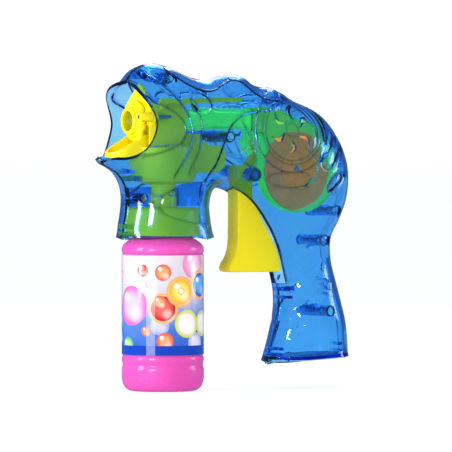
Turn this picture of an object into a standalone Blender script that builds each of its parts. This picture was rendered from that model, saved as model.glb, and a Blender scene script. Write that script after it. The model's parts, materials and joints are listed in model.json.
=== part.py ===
"""Trigger-driven toy bubble gun with a screw-on bottle.

Run with: blender --background --factory-startup --python part.py

The muzzle points towards -X, the left shell is on -Y and +Z is up.  The
driving dimensions below are in millimetres; every mesh is made in metres.
The origin is under the middle of the whole object, on the floor.
"""

import math

import bmesh
import bpy
import numpy as np
from mathutils import Vector
from mathutils.geometry import delaunay_2d_cdt

MM = 0.001

# ---------------------------------------------------------------- body shell
WALL = 2.0               # shell wall
SEAM = 0.15              # half of the gap between the two shell halves
EDGE_STEP = 5.0          # spacing of points along the outline
GRID_STEP = 9.0          # spacing of the points inside the outline
FIELD_STEP = 0.3         # spacing of the samples that the distance uses

# Outline of the parting plane (x, z), clockwise from the brow.
TOP_AND_BACK = [
    (-57.8, 160.6), (-52.4, 166.6), (-43.9, 169.5), (-34.3, 168.0), (-26.5, 164.8),
    (-18.4, 161.9), (-11.0, 161.2), (-3.5, 162.4), (4.0, 163.8), (10.0, 162.8),
    (15.0, 159.3), (21.5, 157.2), (28.0, 156.6), (36.5, 152.4), (43.1, 149.2),
    (50.9, 146.1), (58.0, 141.2), (64.0, 134.0), (69.6, 124.0), (72.6, 112.0),
    (71.6, 98.0), (66.8, 86.0), (62.4, 78.0), (62.6, 67.0), (65.8, 55.5),
    (69.2, 44.0), (71.8, 34.0), (73.0, 22.0), (73.0, 16.5),
]
GRIP_END = [(73.0, 16.5), (50.0, 14.8), (26.2, 14.0)]
GRIP_FRONT_AND_ARCH = [
    (26.2, 14.0), (28.4, 21.5), (31.2, 31.0), (33.2, 41.0), (33.2, 50.5),
    (31.4, 58.5), (28.9, 68.6), (25.5, 77.6), (20.5, 86.5), (14.0, 95.2),
    (8.0, 100.2), (1.5, 103.4), (-4.6, 104.6), (-9.2, 102.2), (-11.0, 96.0),
    (-10.2, 88.0), (-8.4, 79.5),
]
SOCKET_END = [(-8.4, 79.5), (-34.0, 79.5), (-59.8, 79.5)]
SOCKET_FRONT = [
    (-59.8, 79.5), (-59.2, 86.0), (-58.0, 92.5), (-57.4, 100.0), (-58.6, 106.4),
    (-62.6, 112.2), (-67.6, 115.4), (-71.2, 117.2), (-72.2, 119.4),
]
MOUTH = [
    (-72.2, 119.4), (-69.6, 119.9), (-65.6, 119.9), (-61.4, 121.2), (-57.4, 124.9),
    (-54.1, 130.8), (-52.4, 137.0), (-53.0, 142.0), (-55.0, 147.4), (-57.4, 152.4), (-58.6, 156.8),
    (-57.8, 160.6),
]

# Half depth and corner radius of the body at named stations (x, z).
STATIONS = {
    "head": (-38.0, 142.0, 25.0, 27.0),
    "neck": (2.0, 136.0, 24.0, 24.0),
    "hump": (36.0, 114.0, 25.5, 24.0),
    "waist": (46.0, 84.0, 21.0, 21.0),
    "grip_top": (48.0, 62.0, 17.6, 17.0),
    "grip_base": (50.0, 25.0, 17.6, 17.0),
    "socket_base": (-34.0, 80.0, 21.3, 21.5),
    "socket_top": (-34.0, 102.0, 21.8, 22.0),
}
STATION_BLEND = 9.0

# Screws enter from the left shell: name -> (x, z, radius of the boss).
SCREWS = {
    "head": (-38.5, 162.0, 2.9),
    "chin": (-52.0, 100.0, 2.9),
    "arch": (-8.0, 131.5, 2.9),
    "hump": (60.5, 92.5, 2.9),
    "waist": (54.5, 77.0, 2.9),
    "grip": (56.0, 40.0, 2.9),
}
SCREW_RADIUS = 1.1
SCREW_HEAD_RADIUS = 2.1
SCREW_DEPTH = 9.0        # the screw tip lies this far past the parting plane

# Air intake on both sides: six crescent slots round this point (x, z).
INTAKE = (28.7, 134.7)
INTAKE_SLOTS = 6
INTAKE_RADII = (4.8, 13.0)

# ------------------------------------------------------------------ bottle
BOTTLE_X = -35.5
BOTTLE_WALL = 1.2
LABEL_SPAN = (19.0, 70.6)
NECK_TOP = 91.5
ADAPTOR_RADIUS = 19.0

# ------------------------------------------------------------- front pieces
NOZZLE_Z = 139.8
NOZZLE_FACE_X = -53.0
NOZZLE_RADIUS = 10.65
APERTURE_RADIUS = 5.3
DUCT_FRONT_X = -41.0
DUCT_REAR_X = 8.6
WIPER_PIVOT = (-15.2, 142.0)      # (y, z) of the wiper's hinge, which runs along X

# ----------------------------------------------------------------- mechanism
MODULE = 0.8
PRESSURE_ANGLE = math.radians(20.0)
PINION_SHIFT = 0.4       # profile shift of each pinion, taken off its wheel
TOOTH_PLAY = 0.11        # taken off each flank
SECTOR_TEETH = 60
PINION_TEETH = 10
WHEEL_1_TEETH = 30
WHEEL_2_TEETH = 28
TRIGGER_PIVOT = (10.0, 112.0)
SECTOR_BEARING = math.radians(38.0)   # direction from the trigger pin to gear 1
TRIGGER_HALF_WIDTH = 6.0
FAN_CENTRE = (37.8, 114.2)
FAN_RADIUS = 19.4
PUMP_TUBE_LOOP = 8.3

HOUSING_Y = (-13.6, -6.4)         # the blower's walls and its back plate
# The cup of the drip funnel, from the bottom up and back down: (z, shift in x, radius).
CUP_OUTSIDE = [(101.5, 0.0, 6.9), (107.0, 0.0, 7.1), (108.6, 0.0, 15.4), (111.0, 0.0, 17.0),
               (118.0, -0.6, 17.4), (126.5, -1.8, 17.8)]
CUP_INSIDE = [(126.5, -1.8, 16.2), (118.0, -0.6, 15.8), (111.8, 0.0, 15.4), (110.3, 0.0, 14.2),
              (108.8, 0.0, 5.5), (101.5, 0.0, 5.3)]
# The ledge behind the cup and the spout (x, z); the nozzle's plate and the shroud (y, z).
LEDGE = [(-19.6, 112.5), (-19.6, 133.0), (-13.6, 133.0), (-12.6, 127.0), (-4.5, 127.0), (-2.0, 124.5),
         (-2.0, 115.5), (-6.0, 112.5)]
LEDGE_HOLLOW = [(-17.2, 111.0), (-17.2, 131.4), (-15.0, 131.4), (-14.0, 125.4), (-5.1, 125.4),
                (-3.6, 123.9), (-3.6, 111.0)]
PLATE = [(-14.5, 137.0), (-14.5, 140.0), (-13.0, 147.0), (-7.5, 152.0), (0.0, 158.0),
         (7.5, 152.0), (13.0, 147.0), (14.5, 140.0), (14.5, 137.0)]
SPOUT = [(-68.6, 122.8), (-45.4, 135.8), (-45.4, 129.4), (-50.5, 124.0), (-60.0, 121.4),
         (-66.4, 120.6), (-68.6, 121.4)]
SPOUT_HOLLOW = [(-67.2, 122.2), (-75.0, 135.0), (-30.0, 150.0), (-36.0, 133.0), (-46.5, 131.2),
                (-54.0, 126.6), (-61.0, 123.2), (-65.5, 121.9)]
SHROUD = [(-13.2, 127.5), (-13.2, 146.5), (-9.5, 150.3), (8.0, 150.3), (8.0, 149.0), (-8.9, 149.0),
          (-11.9, 146.0), (-11.9, 127.5)]
SHROUD_REAR_X = -28.0
PLATE_Y = (10.6, 11.8)            # the far gearbox plate
PUMP_Y = (12.2, 16.2)


# ------------------------------------------------------------------ helpers
def clear_scene():
    for obj in list(bpy.data.objects):
        bpy.data.objects.remove(obj, do_unlink=True)


def make_material(name, colour, roughness=0.3, metallic=0.0, transmission=0.0):
    """A Principled material of one colour."""
    material = bpy.data.materials.new(name)
    material.use_nodes = True
    shader = material.node_tree.nodes["Principled BSDF"]
    shader.inputs["Base Color"].default_value = (*colour, 1.0)
    shader.inputs["Roughness"].default_value = roughness
    shader.inputs["Metallic"].default_value = metallic
    shader.inputs["Transmission Weight"].default_value = transmission
    return material


def make_object(name, verts, faces, material, smooth=True):
    """A closed mesh object from vertices in millimetres, with outward faces."""
    mesh = bpy.data.meshes.new(name)
    mesh.from_pydata([tuple(MM * c for c in v) for v in verts], [], faces)
    mesh.materials.append(material)
    obj = bpy.data.objects.new(name, mesh)
    bpy.context.scene.collection.objects.link(obj)
    work = bmesh.new()
    work.from_mesh(mesh)
    bmesh.ops.recalc_face_normals(work, faces=work.faces)
    if work.calc_volume(signed=True) < 0:
        bmesh.ops.reverse_faces(work, faces=work.faces)
    work.to_mesh(mesh)
    work.free()
    if smooth:
        mesh.shade_smooth()
        mesh.set_sharp_from_angle(angle=math.radians(35))
    return obj


def combine(target, tool, operation):
    """Apply a Boolean with an unrendered tool object, then remove the tool."""
    tool.hide_render = True
    tool.display_type = "WIRE"
    modifier = target.modifiers.new(operation.lower(), "BOOLEAN")
    modifier.operation = operation
    modifier.solver = "EXACT"
    modifier.object = tool
    graph = bpy.context.evaluated_depsgraph_get()
    result = bpy.data.meshes.new_from_object(target.evaluated_get(graph))
    target.modifiers.clear()
    old = target.data
    target.data = result
    result.name = target.name
    bpy.data.meshes.remove(old)
    bpy.data.objects.remove(tool, do_unlink=True)
    return target


def cut(target, tool):
    return combine(target, tool, "DIFFERENCE")


def add(target, tool):
    return combine(target, tool, "UNION")


def move_origin(obj, point):
    """Put the origin on a joint axis without moving the mesh."""
    offset = Vector(point) * MM
    for vertex in obj.data.vertices:
        vertex.co -= offset
    obj.location = offset
    return obj


def ring_faces(rings, segments, closed=True):
    """Quads between neighbouring rings of a tube; closed joins last to first."""
    faces = []
    count = rings if closed else rings - 1
    for i in range(count):
        for j in range(segments):
            a, b = i * segments, (i + 1) % rings * segments
            k = (j + 1) % segments
            faces.append((a + j, a + k, b + k, b + j))
    return faces


def lathe(name, profile, centre, axis, material, segments=28):
    """Revolve a closed (radius, height) profile that never touches the axis."""
    verts = []
    for radius, height in profile:
        for j in range(segments):
            turn = math.tau * j / segments
            u, v = radius * math.cos(turn), radius * math.sin(turn)
            local = {"X": (height, u, v), "Y": (u, height, v), "Z": (u, v, height)}[axis]
            verts.append([c + o for c, o in zip(centre, local)])
    return make_object(name, verts, ring_faces(len(profile), segments), material)


def disc(name, radius, low, high, centre, axis, material, segments=28):
    """A plain round bar between two heights along an axis."""
    verts = []
    for height in (low, high):
        for j in range(segments):
            turn = math.tau * j / segments
            u, v = radius * math.cos(turn), radius * math.sin(turn)
            local = {"X": (height, u, v), "Y": (u, height, v), "Z": (u, v, height)}[axis]
            verts.append([c + o for c, o in zip(centre, local)])
    faces = ring_faces(2, segments, closed=False)
    faces.append(tuple(range(segments)))
    faces.append(tuple(range(2 * segments - 1, segments - 1, -1)))
    return make_object(name, verts, faces, material)


def prism(name, outline, low, high, material, axis="Y", smooth=False):
    """Extrude an outline of (x, z), or of (y, z) for the X axis."""
    verts = []
    for depth in (low, high):
        for a, b in outline:
            verts.append((a, depth, b) if axis == "Y" else (depth, a, b))
    count = len(outline)
    faces = ring_faces(2, count, closed=False)
    faces.append(tuple(range(count)))
    faces.append(tuple(range(2 * count - 1, count - 1, -1)))
    return make_object(name, verts, faces, material, smooth)


def spline(points, step, closed=False):
    """Catmull-Rom curve through the points, resampled at an even step."""
    pts = np.array(points, float)
    if closed:
        pts = np.vstack([pts[-1], pts, pts[:2]])
    else:
        pts = np.vstack([2 * pts[0] - pts[1], pts, 2 * pts[-1] - pts[-2]])
    dense = []
    for i in range(1, len(pts) - 2):
        p0, p1, p2, p3 = pts[i - 1:i + 3]
        for t in np.linspace(0.0, 1.0, 24, endpoint=False):
            dense.append(0.5 * (2 * p1 + (p2 - p0) * t + (2 * p0 - 5 * p1 + 4 * p2 - p3) * t ** 2
                                + (3 * p1 - p0 - 3 * p2 + p3) * t ** 3))
    dense.append(pts[-2])
    dense = np.array(dense)
    run = np.concatenate([[0.0], np.cumsum(np.linalg.norm(np.diff(dense, axis=0), axis=1))])
    count = max(2, round(run[-1] / step))
    marks = np.linspace(0.0, run[-1], count + 1)
    return np.column_stack([np.interp(marks, run, dense[:, k]) for k in range(dense.shape[1])])


def tube(name, path, outer, inner, material, segments=8, step=6.0):
    """A hollow tube swept along a smooth path, with a frame that never twists."""
    line = spline(path, step)
    tangents = np.gradient(line, axis=0)
    tangents /= np.linalg.norm(tangents, axis=1)[:, None]
    side = np.cross(tangents[0], (0.3, 1.0, 0.2))
    rings = []
    for point, tangent in zip(line, tangents):
        side = side - tangent * side.dot(tangent)
        side /= np.linalg.norm(side)
        up = np.cross(tangent, side)
        rings.append((point, side.copy(), up))
    verts = []
    for radius, order in ((outer, rings), (inner, rings[::-1])):
        for point, u, v in order:
            for j in range(segments):
                turn = math.tau * j / segments
                verts.append(point + radius * (math.cos(turn) * u + math.sin(turn) * v))
    return make_object(name, verts, ring_faces(2 * len(rings), segments), material)


# -------------------------------------------------------------- shell shape
class BodyField:
    """Half depth of the body over the parting plane.

    The depth grows from nothing at the rounded part of the outline to a
    station's full depth, as a rounded edge does.  The open ends (the mouth,
    the socket and the end of the grip) don't round it.
    """

    def __init__(self):
        rounded = [spline(s, FIELD_STEP) for s in (TOP_AND_BACK, GRIP_FRONT_AND_ARCH, SOCKET_FRONT)]
        self.points = np.vstack([(r[1:] + r[:-1]) / 2 for r in rounded])
        self.lengths = np.concatenate([np.linalg.norm(np.diff(r, axis=0), axis=1) for r in rounded])
        self.stations = np.array(list(STATIONS.values()))

    def distance(self, where):
        """Smooth distance to the rounded outline, without a ridge between sides."""
        offset = where[:, None, :] - self.points[None, :, :]
        square = (offset ** 2).sum(axis=2)
        crowd = (self.lengths / np.maximum(square, 0.02) ** 2).sum(axis=1)
        return np.maximum((crowd * 2 / math.pi) ** (-1 / 3) - 0.11, 0.0)

    def depth(self, where):
        where = np.atleast_2d(np.asarray(where, float))
        offset = where[:, None, :] - self.stations[None, :, :2]
        weight = ((offset ** 2).sum(axis=2) + STATION_BLEND ** 2) ** -2.0
        weight /= weight.sum(axis=1)[:, None]
        full, radius = weight @ self.stations[:, 2], weight @ self.stations[:, 3]
        inset = np.minimum(self.distance(where) / radius, 1.0)
        return full * np.sqrt(1.0 - (1.0 - inset) ** 2)

    def slope(self, where):
        """Gradient of the half depth in the parting plane."""
        step = 0.05
        return np.column_stack([
            (self.depth(where + np.array(d)) - self.depth(where - np.array(d))) / (2 * step)
            for d in ((step, 0.0), (0.0, step))])


def body_outline(step):
    """The closed outline and, for each point, whether it is on the rounded part."""
    points, rounded = [], []
    for run, is_rounded in ((TOP_AND_BACK, True), (GRIP_END, False), (GRIP_FRONT_AND_ARCH, True),
                            (SOCKET_END, False), (SOCKET_FRONT, True), (MOUTH, False)):
        part = spline(run, step)
        points.extend(part[:-1])
        rounded.extend([is_rounded] * (len(part) - 1))
        if not is_rounded:
            rounded[-(len(part) - 1)] = True
    return np.array(points), np.array(rounded)


def inside(polygon, where):
    """Even-odd test of many points against a polygon."""
    x, z = where[:, 0], where[:, 1]
    result = np.zeros(len(where), bool)
    following = np.roll(polygon, -1, axis=0)
    for (x1, z1), (x2, z2) in zip(polygon, following):
        if z1 == z2:
            continue
        crosses = (z1 > z) != (z2 > z)
        result ^= crosses & (x < (x2 - x1) * (z - z1) / (z2 - z1) + x1)
    return result


def body_points(field, outline, rounded):
    """Points for the sheet: the outline, two rows near it and a hexagonal grid."""
    following, previous = np.roll(outline, -1, axis=0), np.roll(outline, 1, axis=0)
    along = following - previous
    along /= np.linalg.norm(along, axis=1)[:, None]
    inward = np.column_stack([along[:, 1], -along[:, 0]])
    rows = [outline]
    taken = outline
    for inset, clearance, spread in ((1.0, 0.8, 2.2), (3.4, 1.9, 2.8)):
        row = outline[rounded] + inward[rounded] * inset
        row = row[inside(outline, row)]
        gap = np.linalg.norm(row[:, None] - taken[None], axis=2).min(axis=1)
        row = row[gap > clearance]
        kept = []
        for point in row:
            if all(np.linalg.norm(point - other) > spread for other in kept[-4:]):
                kept.append(point)
        rows.append(np.array(kept))
        taken = np.vstack(rows)
    low, high = outline.min(axis=0), outline.max(axis=0)
    grid = []
    for j, z in enumerate(np.arange(low[1], high[1], GRID_STEP * 0.866)):
        for x in np.arange(low[0] + (j % 2) * GRID_STEP / 2, high[0], GRID_STEP):
            grid.append((x, z))
    grid = np.array(grid)
    grid = grid[inside(outline, grid)]
    gap = np.linalg.norm(grid[:, None] - taken[None], axis=2).min(axis=1)
    rows.append(grid[gap > GRID_STEP * 0.55])
    return np.vstack(rows), inward


def shell_half(name, side, field, material):
    """One half of the body: an outer sheet, an inner sheet and the rim between."""
    outline, rounded = body_outline(EDGE_STEP)
    points, inward = body_points(field, outline, rounded)
    count = len(outline)
    loop = [(i, (i + 1) % count) for i in range(count)]
    flat, _, triangles, *_ = delaunay_2d_cdt([Vector(p) for p in points], loop, [], 1, 1e-6)
    flat = np.array([tuple(p) for p in flat])
    depth = field.depth(flat)
    slope = field.slope(flat)
    depth[:count][rounded] = 0.0
    normal = np.column_stack([-slope[:, 0], np.full(len(flat), -1.0), -slope[:, 1]])
    normal[:count][rounded] = np.column_stack(
        [-inward[rounded, 0], np.zeros(rounded.sum()), -inward[rounded, 1]])
    normal /= np.linalg.norm(normal, axis=1)[:, None]
    outer = np.column_stack([flat[:, 0], -depth - SEAM, flat[:, 1]])
    inner = outer - WALL * normal
    inner[:, 1] = np.minimum(inner[:, 1], -SEAM)
    verts = np.vstack([outer, inner])
    verts[:, 1] *= side
    shift = len(flat)
    faces = [tuple(t) for t in triangles]
    faces += [tuple(i + shift for i in reversed(t)) for t in triangles]
    faces += [(a, a + shift, b + shift, b) for a, b in loop]
    return make_object(name, verts, faces, material)


def grip_floor(side, field, material):
    """The plate that closes one half of the grip's lower end."""
    line = spline(GRIP_END, EDGE_STEP)
    low, high = line[1:-1] + np.array([0.0, 0.12]), line[1:-1] + np.array([0.0, WALL])
    reach = np.maximum(field.depth(low) - WALL * 0.52, 5 * SEAM)
    verts = []
    for row in (low, high):
        verts += [(x, -side * SEAM, z) for x, z in row]
        verts += [(x, -side * y, z) for (x, z), y in zip(row[::-1], reach[::-1])]
    count = 2 * len(low)
    faces = ring_faces(2, count, closed=False)
    faces += [tuple(range(count)), tuple(range(2 * count - 1, count - 1, -1))]
    return make_object("floor", verts, faces, material, smooth=False)


def crescent_slots(side, material):
    """Six curved blades round the intake, as one cutting tool."""
    verts, faces = [], []
    inner, outer = INTAKE_RADII
    for k in range(INTAKE_SLOTS):
        start = math.tau * (k + 0.2) / INTAKE_SLOTS
        ring = []
        for t, bulge in [(0, 0), (0.25, -1), (0.5, -1.35), (0.75, -1), (1, 0),
                         (0.75, 0.35), (0.5, 0.45), (0.25, 0.35)]:
            radius = inner + (outer - inner) * t
            turn = start + 0.42 * math.sin(math.pi * t) + bulge * 0.13
            ring.append((INTAKE[0] + radius * math.cos(turn), INTAKE[1] + radius * math.sin(turn)))
        base = len(verts)
        for y in (side * 10.0, side * 30.0):
            verts.extend((x, y, z) for x, z in ring)
        count = len(ring)
        faces += [tuple(base + i for i in f) for f in ring_faces(2, count, closed=False)]
        faces.append(tuple(range(base, base + count)))
        faces.append(tuple(range(base + 2 * count - 1, base + count - 1, -1)))
    return make_object("crescent_tool", verts, faces, material, smooth=False)


def trigger_slot(material):
    """The band of grip wall that the trigger passes through."""
    band = [(2.6, 90.0), (2.6, 108.5), (9.0, 107.0), (16.0, 101.0), (23.0, 92.0), (30.0, 80.0),
            (35.0, 68.0), (38.5, 54.5), (27.0, 54.5), (24.0, 66.0), (15.0, 82.0)]
    return prism("slot_tool", band, -7.2, 7.2, material)


def wall_height(field, x, z, radius):
    """How far from the parting plane a post can reach and stay within the wall."""
    around = [(x + radius * math.cos(a), z + radius * math.sin(a))
              for a in np.linspace(0, math.tau, 9)[:-1]]
    return float(min(field.depth(np.array(around)).min(), field.depth([(x, z)])[0])) - WALL * 0.45


def build_shells(field, material):
    """Both halves, with screw posts, pin posts, slots and the trigger opening."""
    for name, side in (("left_shell", 1.0), ("right_shell", -1.0)):
        shell = shell_half(name, side, field, material)
        add(shell, grip_floor(side, field, material))
        for x, z, radius in SCREWS.values():
            top = wall_height(field, x, z, radius)
            ends = sorted((-side * SEAM, -side * top))
            add(shell, disc("post", radius, *ends, (x, 0, z), "Y", material, 14))
        x, z = TRIGGER_PIVOT
        ends = sorted((-side * 9.5, -side * wall_height(field, x, z, 3.4)))
        add(shell, disc("post", 3.4, *ends, (x, 0, z), "Y", material, 14))
        cut(shell, disc("bore", 1.75, -16.4, 16.4, (x, 0, z), "Y", material, 12))
        cut(shell, trigger_slot(material))
        cut(shell, crescent_slots(-side, material))
        for x, z, radius in SCREWS.values():
            depth = field.depth([(x, z)])[0]
            if side > 0:
                cut(shell, disc("bore", SCREW_RADIUS + 0.25, -depth - 3, 1, (x, 0, z), "Y", material, 10))
                cut(shell, disc("bore", SCREW_HEAD_RADIUS + 0.3, -depth - 3, -depth * 0.5,
                                (x, 0, z), "Y", material, 12))
            else:
                cut(shell, disc("bore", SCREW_RADIUS + 0.25, -1, min(SCREW_DEPTH + 0.5, depth - 3.5),
                                (x, 0, z), "Y", material, 10))


def build_body_screws(field, material):
    """One self-tapping screw for each post, heads on the left."""
    for name, (x, z, _) in SCREWS.items():
        depth = field.depth([(x, z)])[0]
        head = -depth * 0.5 - 0.3
        tip = min(SCREW_DEPTH, depth - 4.0)
        profile = [(0.5, head - 0.6), (0.7, head - 1.4), (SCREW_HEAD_RADIUS - 0.4, head - 1.4),
                   (SCREW_HEAD_RADIUS, head - 0.7), (SCREW_HEAD_RADIUS, head), (SCREW_RADIUS, head),
                   (SCREW_RADIUS, tip - 1.2), (0.25, tip), (0.12, tip - 0.3)]
        lathe("screw_" + name, profile, (x, 0, z), "Y", material, 12)


# ------------------------------------------------------------------- gears
def involute(angle):
    return math.tan(angle) - angle


def tooth_outline(teeth, shift, centre, phase, first=0, last=None):
    """Outline points of the teeth from first to last of an involute gear."""
    pitch = MODULE * teeth / 2
    base = pitch * math.cos(PRESSURE_ANGLE)
    tip = pitch + MODULE * (0.9 + shift)
    root = pitch - MODULE * (1.25 - shift)
    half = (math.pi / 2 + 2 * shift * math.tan(PRESSURE_ANGLE)) / teeth - TOOTH_PLAY / pitch

    def half_angle(radius):
        return half + involute(PRESSURE_ANGLE) - involute(math.acos(min(1.0, base / radius)))

    start = max(base, root + 0.05)
    radii = [root] + [start + (tip - start) * t for t in (0.0, 0.45, 1.0)]
    points = []
    for k in range(first, teeth if last is None else last):
        middle = phase + math.tau * k / teeth
        flank = [(r, half_angle(max(r, start))) for r in radii]
        for r, a in [(r, -a) for r, a in flank] + [(r, a) for r, a in reversed(flank)]:
            points.append((centre[0] + r * math.cos(middle + a), centre[1] + r * math.sin(middle + a)))
    return points


def mating_phase(bearing, teeth, phase, mate_teeth):
    """Phase of a gear that meshes with one at the far end of the bearing."""
    return bearing + math.pi + math.pi / mate_teeth - (phase - bearing) * teeth / mate_teeth


def gear_layout():
    """Centres and tooth phases of the train from the trigger to the fan."""
    pivot, fan = np.array(TRIGGER_PIVOT), np.array(FAN_CENTRE)
    reach = MODULE * (SECTOR_TEETH + PINION_TEETH) / 2
    first = pivot + reach * np.array([math.cos(SECTOR_BEARING), math.sin(SECTOR_BEARING)])
    near = MODULE * (WHEEL_1_TEETH + PINION_TEETH) / 2
    far = MODULE * (WHEEL_2_TEETH + PINION_TEETH) / 2
    span = fan - first
    length = np.linalg.norm(span)
    along = (near ** 2 - far ** 2 + length ** 2) / (2 * length)
    aside = math.sqrt(near ** 2 - along ** 2)
    across = np.array([-span[1], span[0]]) / length
    second = first + span / length * along + across * aside
    to_second = math.atan2(*(second - first)[::-1])
    to_fan = math.atan2(*(fan - second)[::-1])
    return {
        "first": tuple(first), "second": tuple(second),
        "pinion_1": mating_phase(SECTOR_BEARING, SECTOR_TEETH, SECTOR_BEARING, PINION_TEETH),
        "pinion_2": mating_phase(to_second, WHEEL_1_TEETH, to_second, PINION_TEETH),
        "wheel_1": to_second, "wheel_2": to_fan,
        "pinion_3": mating_phase(to_fan, WHEEL_2_TEETH, to_fan, PINION_TEETH),
    }


def compound_gear(name, centre, wheel, pinion, bore, material):
    """A wheel and its pinion in one moulding, each (teeth, phase, low, high)."""
    x, z = centre
    teeth, phase, low, high = wheel
    body = prism(name, tooth_outline(teeth, -PINION_SHIFT, centre, phase), low, high, material)
    teeth, phase, p_low, p_high = pinion
    add(body, prism("pinion", tooth_outline(teeth, PINION_SHIFT, centre, phase), p_low, p_high, material))
    cut(body, disc("bore", bore, -20, 30, (x, 0, z), "Y", material, 12))
    return move_origin(body, (x, 0, z))


def build_gears(layout, plastic, steel):
    first, second = layout["first"], layout["second"]
    compound_gear("compound_gear_1", first, (WHEEL_1_TEETH, layout["wheel_1"], 3.0, 5.4),
                  (PINION_TEETH, layout["pinion_1"], -2.2, 3.4), 1.3, plastic)
    compound_gear("compound_gear_2", second, (WHEEL_2_TEETH, layout["wheel_2"], 5.9, 8.1),
                  (PINION_TEETH, layout["pinion_2"], 2.6, 6.2), 1.3, plastic)
    clutch = prism("clutch_pinion", tooth_outline(PINION_TEETH, PINION_SHIFT, FAN_CENTRE, layout["pinion_3"]),
                   5.6, 8.5, plastic)
    x, z = FAN_CENTRE
    add(clutch, disc("skirt", 3.0, 2.6, 6.0, (x, 0, z), "Y", plastic, 18))
    cut(clutch, disc("bore", 1.3, -5, 15, (x, 0, z), "Y", plastic, 12))
    move_origin(clutch, (x, 0, z))
    pin = disc("gear_pin", 1.0, -6.6, 11.4, (second[0], 0, second[1]), "Y", steel, 12)
    move_origin(pin, (second[0], 0, second[1]))
    shaft = disc("pump_shaft", 1.0, -6.6, 16.0, (first[0], 0, first[1]), "Y", steel, 12)
    move_origin(shaft, (first[0], 0, first[1]))


# ------------------------------------------------------------------ blower
def volute_outline(gap):
    """Scroll round the fan that opens into a channel towards the muzzle."""
    fx, fz = FAN_CENTRE
    points = []
    for k in range(19):
        share = k / 18
        turn = math.radians(150 + 300 * share)
        radius = FAN_RADIUS + 0.8 + 4.0 * share ** 1.6 + gap
        points.append((fx + radius * math.cos(turn), fz + radius * math.sin(turn)))
    points += [(28.0, 143.2 + gap), (18.0, 145.2 + gap), (DUCT_REAR_X + 0.4, 145.2 + gap),
               (DUCT_REAR_X + 0.4, 135.2 - gap), (14.5, 134.0 - gap), (17.6, 130.0 - gap)]
    return points


def build_blower(layout, lime, orange, steel, brass):
    fx, fz = FAN_CENTRE
    low, high = HOUSING_Y
    housing = prism("blower_housing", volute_outline(1.2), low, high, lime)
    cut(housing, prism("hollow", volute_outline(0.0), low - 1, high - 1.4, lime))
    cut(housing, prism("outlet", [(5, 135.8), (14, 135.8), (14, 144.6), (5, 144.6)],
                       low - 1, high - 1.4, lime))
    cut(housing, disc("bore", 1.9, high - 3, high + 1, (fx, 0, fz), "Y", lime, 12))
    for centre in (layout["first"], layout["second"]):
        cut(housing, disc("bore", 1.25, high - 3, high + 1, (centre[0], 0, centre[1]), "Y", lime, 12))
    cover = prism("blower_cover", volute_outline(0.6), low - 1.3, low - 0.3, lime)
    cut(cover, disc("inlet", 11.0, low - 3, low + 1, (fx, 0, fz), "Y", lime, 24))

    plate = [(22.0, 124.0), (25.0, 141.0), (42.0, 141.5), (56.0, 133.0), (59.0, 118.0),
             (50.0, 104.0), (30.0, 104.0)]
    gearbox = prism("gearbox_plate", plate, *PLATE_Y, lime)
    for (x, z), radius in ((layout["first"], 1.3), (layout["second"], 1.3), (FAN_CENTRE, 1.9)):
        cut(gearbox, disc("bore", radius, PLATE_Y[0] - 1, PLATE_Y[1] + 1, (x, 0, z), "Y", lime, 12))

    fan = disc("fan", FAN_RADIUS, high - 3.0, high - 1.9, (fx, 0, fz), "Y", orange, 32)
    add(fan, disc("hub", 3.4, low + 2.4, high - 2.4, (fx, 0, fz), "Y", orange, 16))
    for k in range(8):
        turn = math.tau * k / 8 + 0.05
        blade = []
        for radius, sweep in ((5.2, 0.0), (11.5, 0.16), (FAN_RADIUS - 1.3, 0.52)):
            blade.append((fx + radius * math.cos(turn + sweep), fz + radius * math.sin(turn + sweep)))
        for radius, sweep in ((FAN_RADIUS - 1.3, 0.57), (11.5, 0.25), (5.2, 0.18)):
            blade.append((fx + radius * math.cos(turn + sweep), fz + radius * math.sin(turn + sweep)))
        add(fan, prism("blade", blade, low + 0.8, high - 2.4, orange))
    cut(fan, disc("bore", 1.25, low - 1, high, (fx, 0, fz), "Y", orange, 12))
    move_origin(fan, (fx, 0, fz))
    shaft = disc("fan_shaft", 1.0, low + 1.0, 12.4, (fx, 0, fz), "Y", steel, 12)
    move_origin(shaft, (fx, 0, fz))
    dog = lathe("clutch_dog", [(1.25, -5.4), (3.6, -5.4), (3.6, 1.9), (1.25, 1.9)],
                (fx, 0, fz), "Y", orange, 18)
    move_origin(dog, (fx, 0, fz))
    spans = {"fan_bush_near": (high - 1.3, high + 0.6), "fan_bush_far": (10.2, PLATE_Y[1] + 0.2)}
    for name, (start, end) in spans.items():
        lathe(name, [(1.25, start), (1.65, start), (1.65, end), (1.25, end)],
              (fx, 0, fz), "Y", brass, 16)


def duct_ring(x, y, z, half_y, half_z, power, count):
    """One superelliptic section of the duct, square at the fan, round in front."""
    ring = []
    for j in range(count):
        turn = math.tau * j / count
        c, s = math.cos(turn), math.sin(turn)
        ring.append((x, y + half_y * math.copysign(abs(c) ** power, c),
                     z + half_z * math.copysign(abs(s) ** power, s)))
    return ring


def build_duct(lime):
    """Loft from the rectangular outlet of the blower to the round nozzle."""
    middle = sum(HOUSING_Y) / 2
    stations = [
        (DUCT_REAR_X, middle, 140.4, 3.8, 5.2, 0.35), (-3.0, middle + 0.3, 140.6, 4.6, 5.4, 0.45),
        (-15.0, -8.4, 140.9, 5.8, 5.8, 0.65), (-26.0, -4.6, 140.6, 7.0, 7.0, 0.9),
        (-34.0, -1.2, 140.0, 7.8, 7.8, 1.0), (DUCT_FRONT_X, 0.0, NOZZLE_Z, 8.0, 8.0, 1.0),
    ]
    count = 16
    verts = []
    for x, y, z, a, b, power in stations:
        verts += duct_ring(x, y, z, a, b, power, count)
    for x, y, z, a, b, power in reversed(stations):
        verts += duct_ring(x, y, z, a - 1.2, b - 1.2, power, count)
    make_object("air_duct", verts, ring_faces(2 * len(stations), count), lime)


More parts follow.
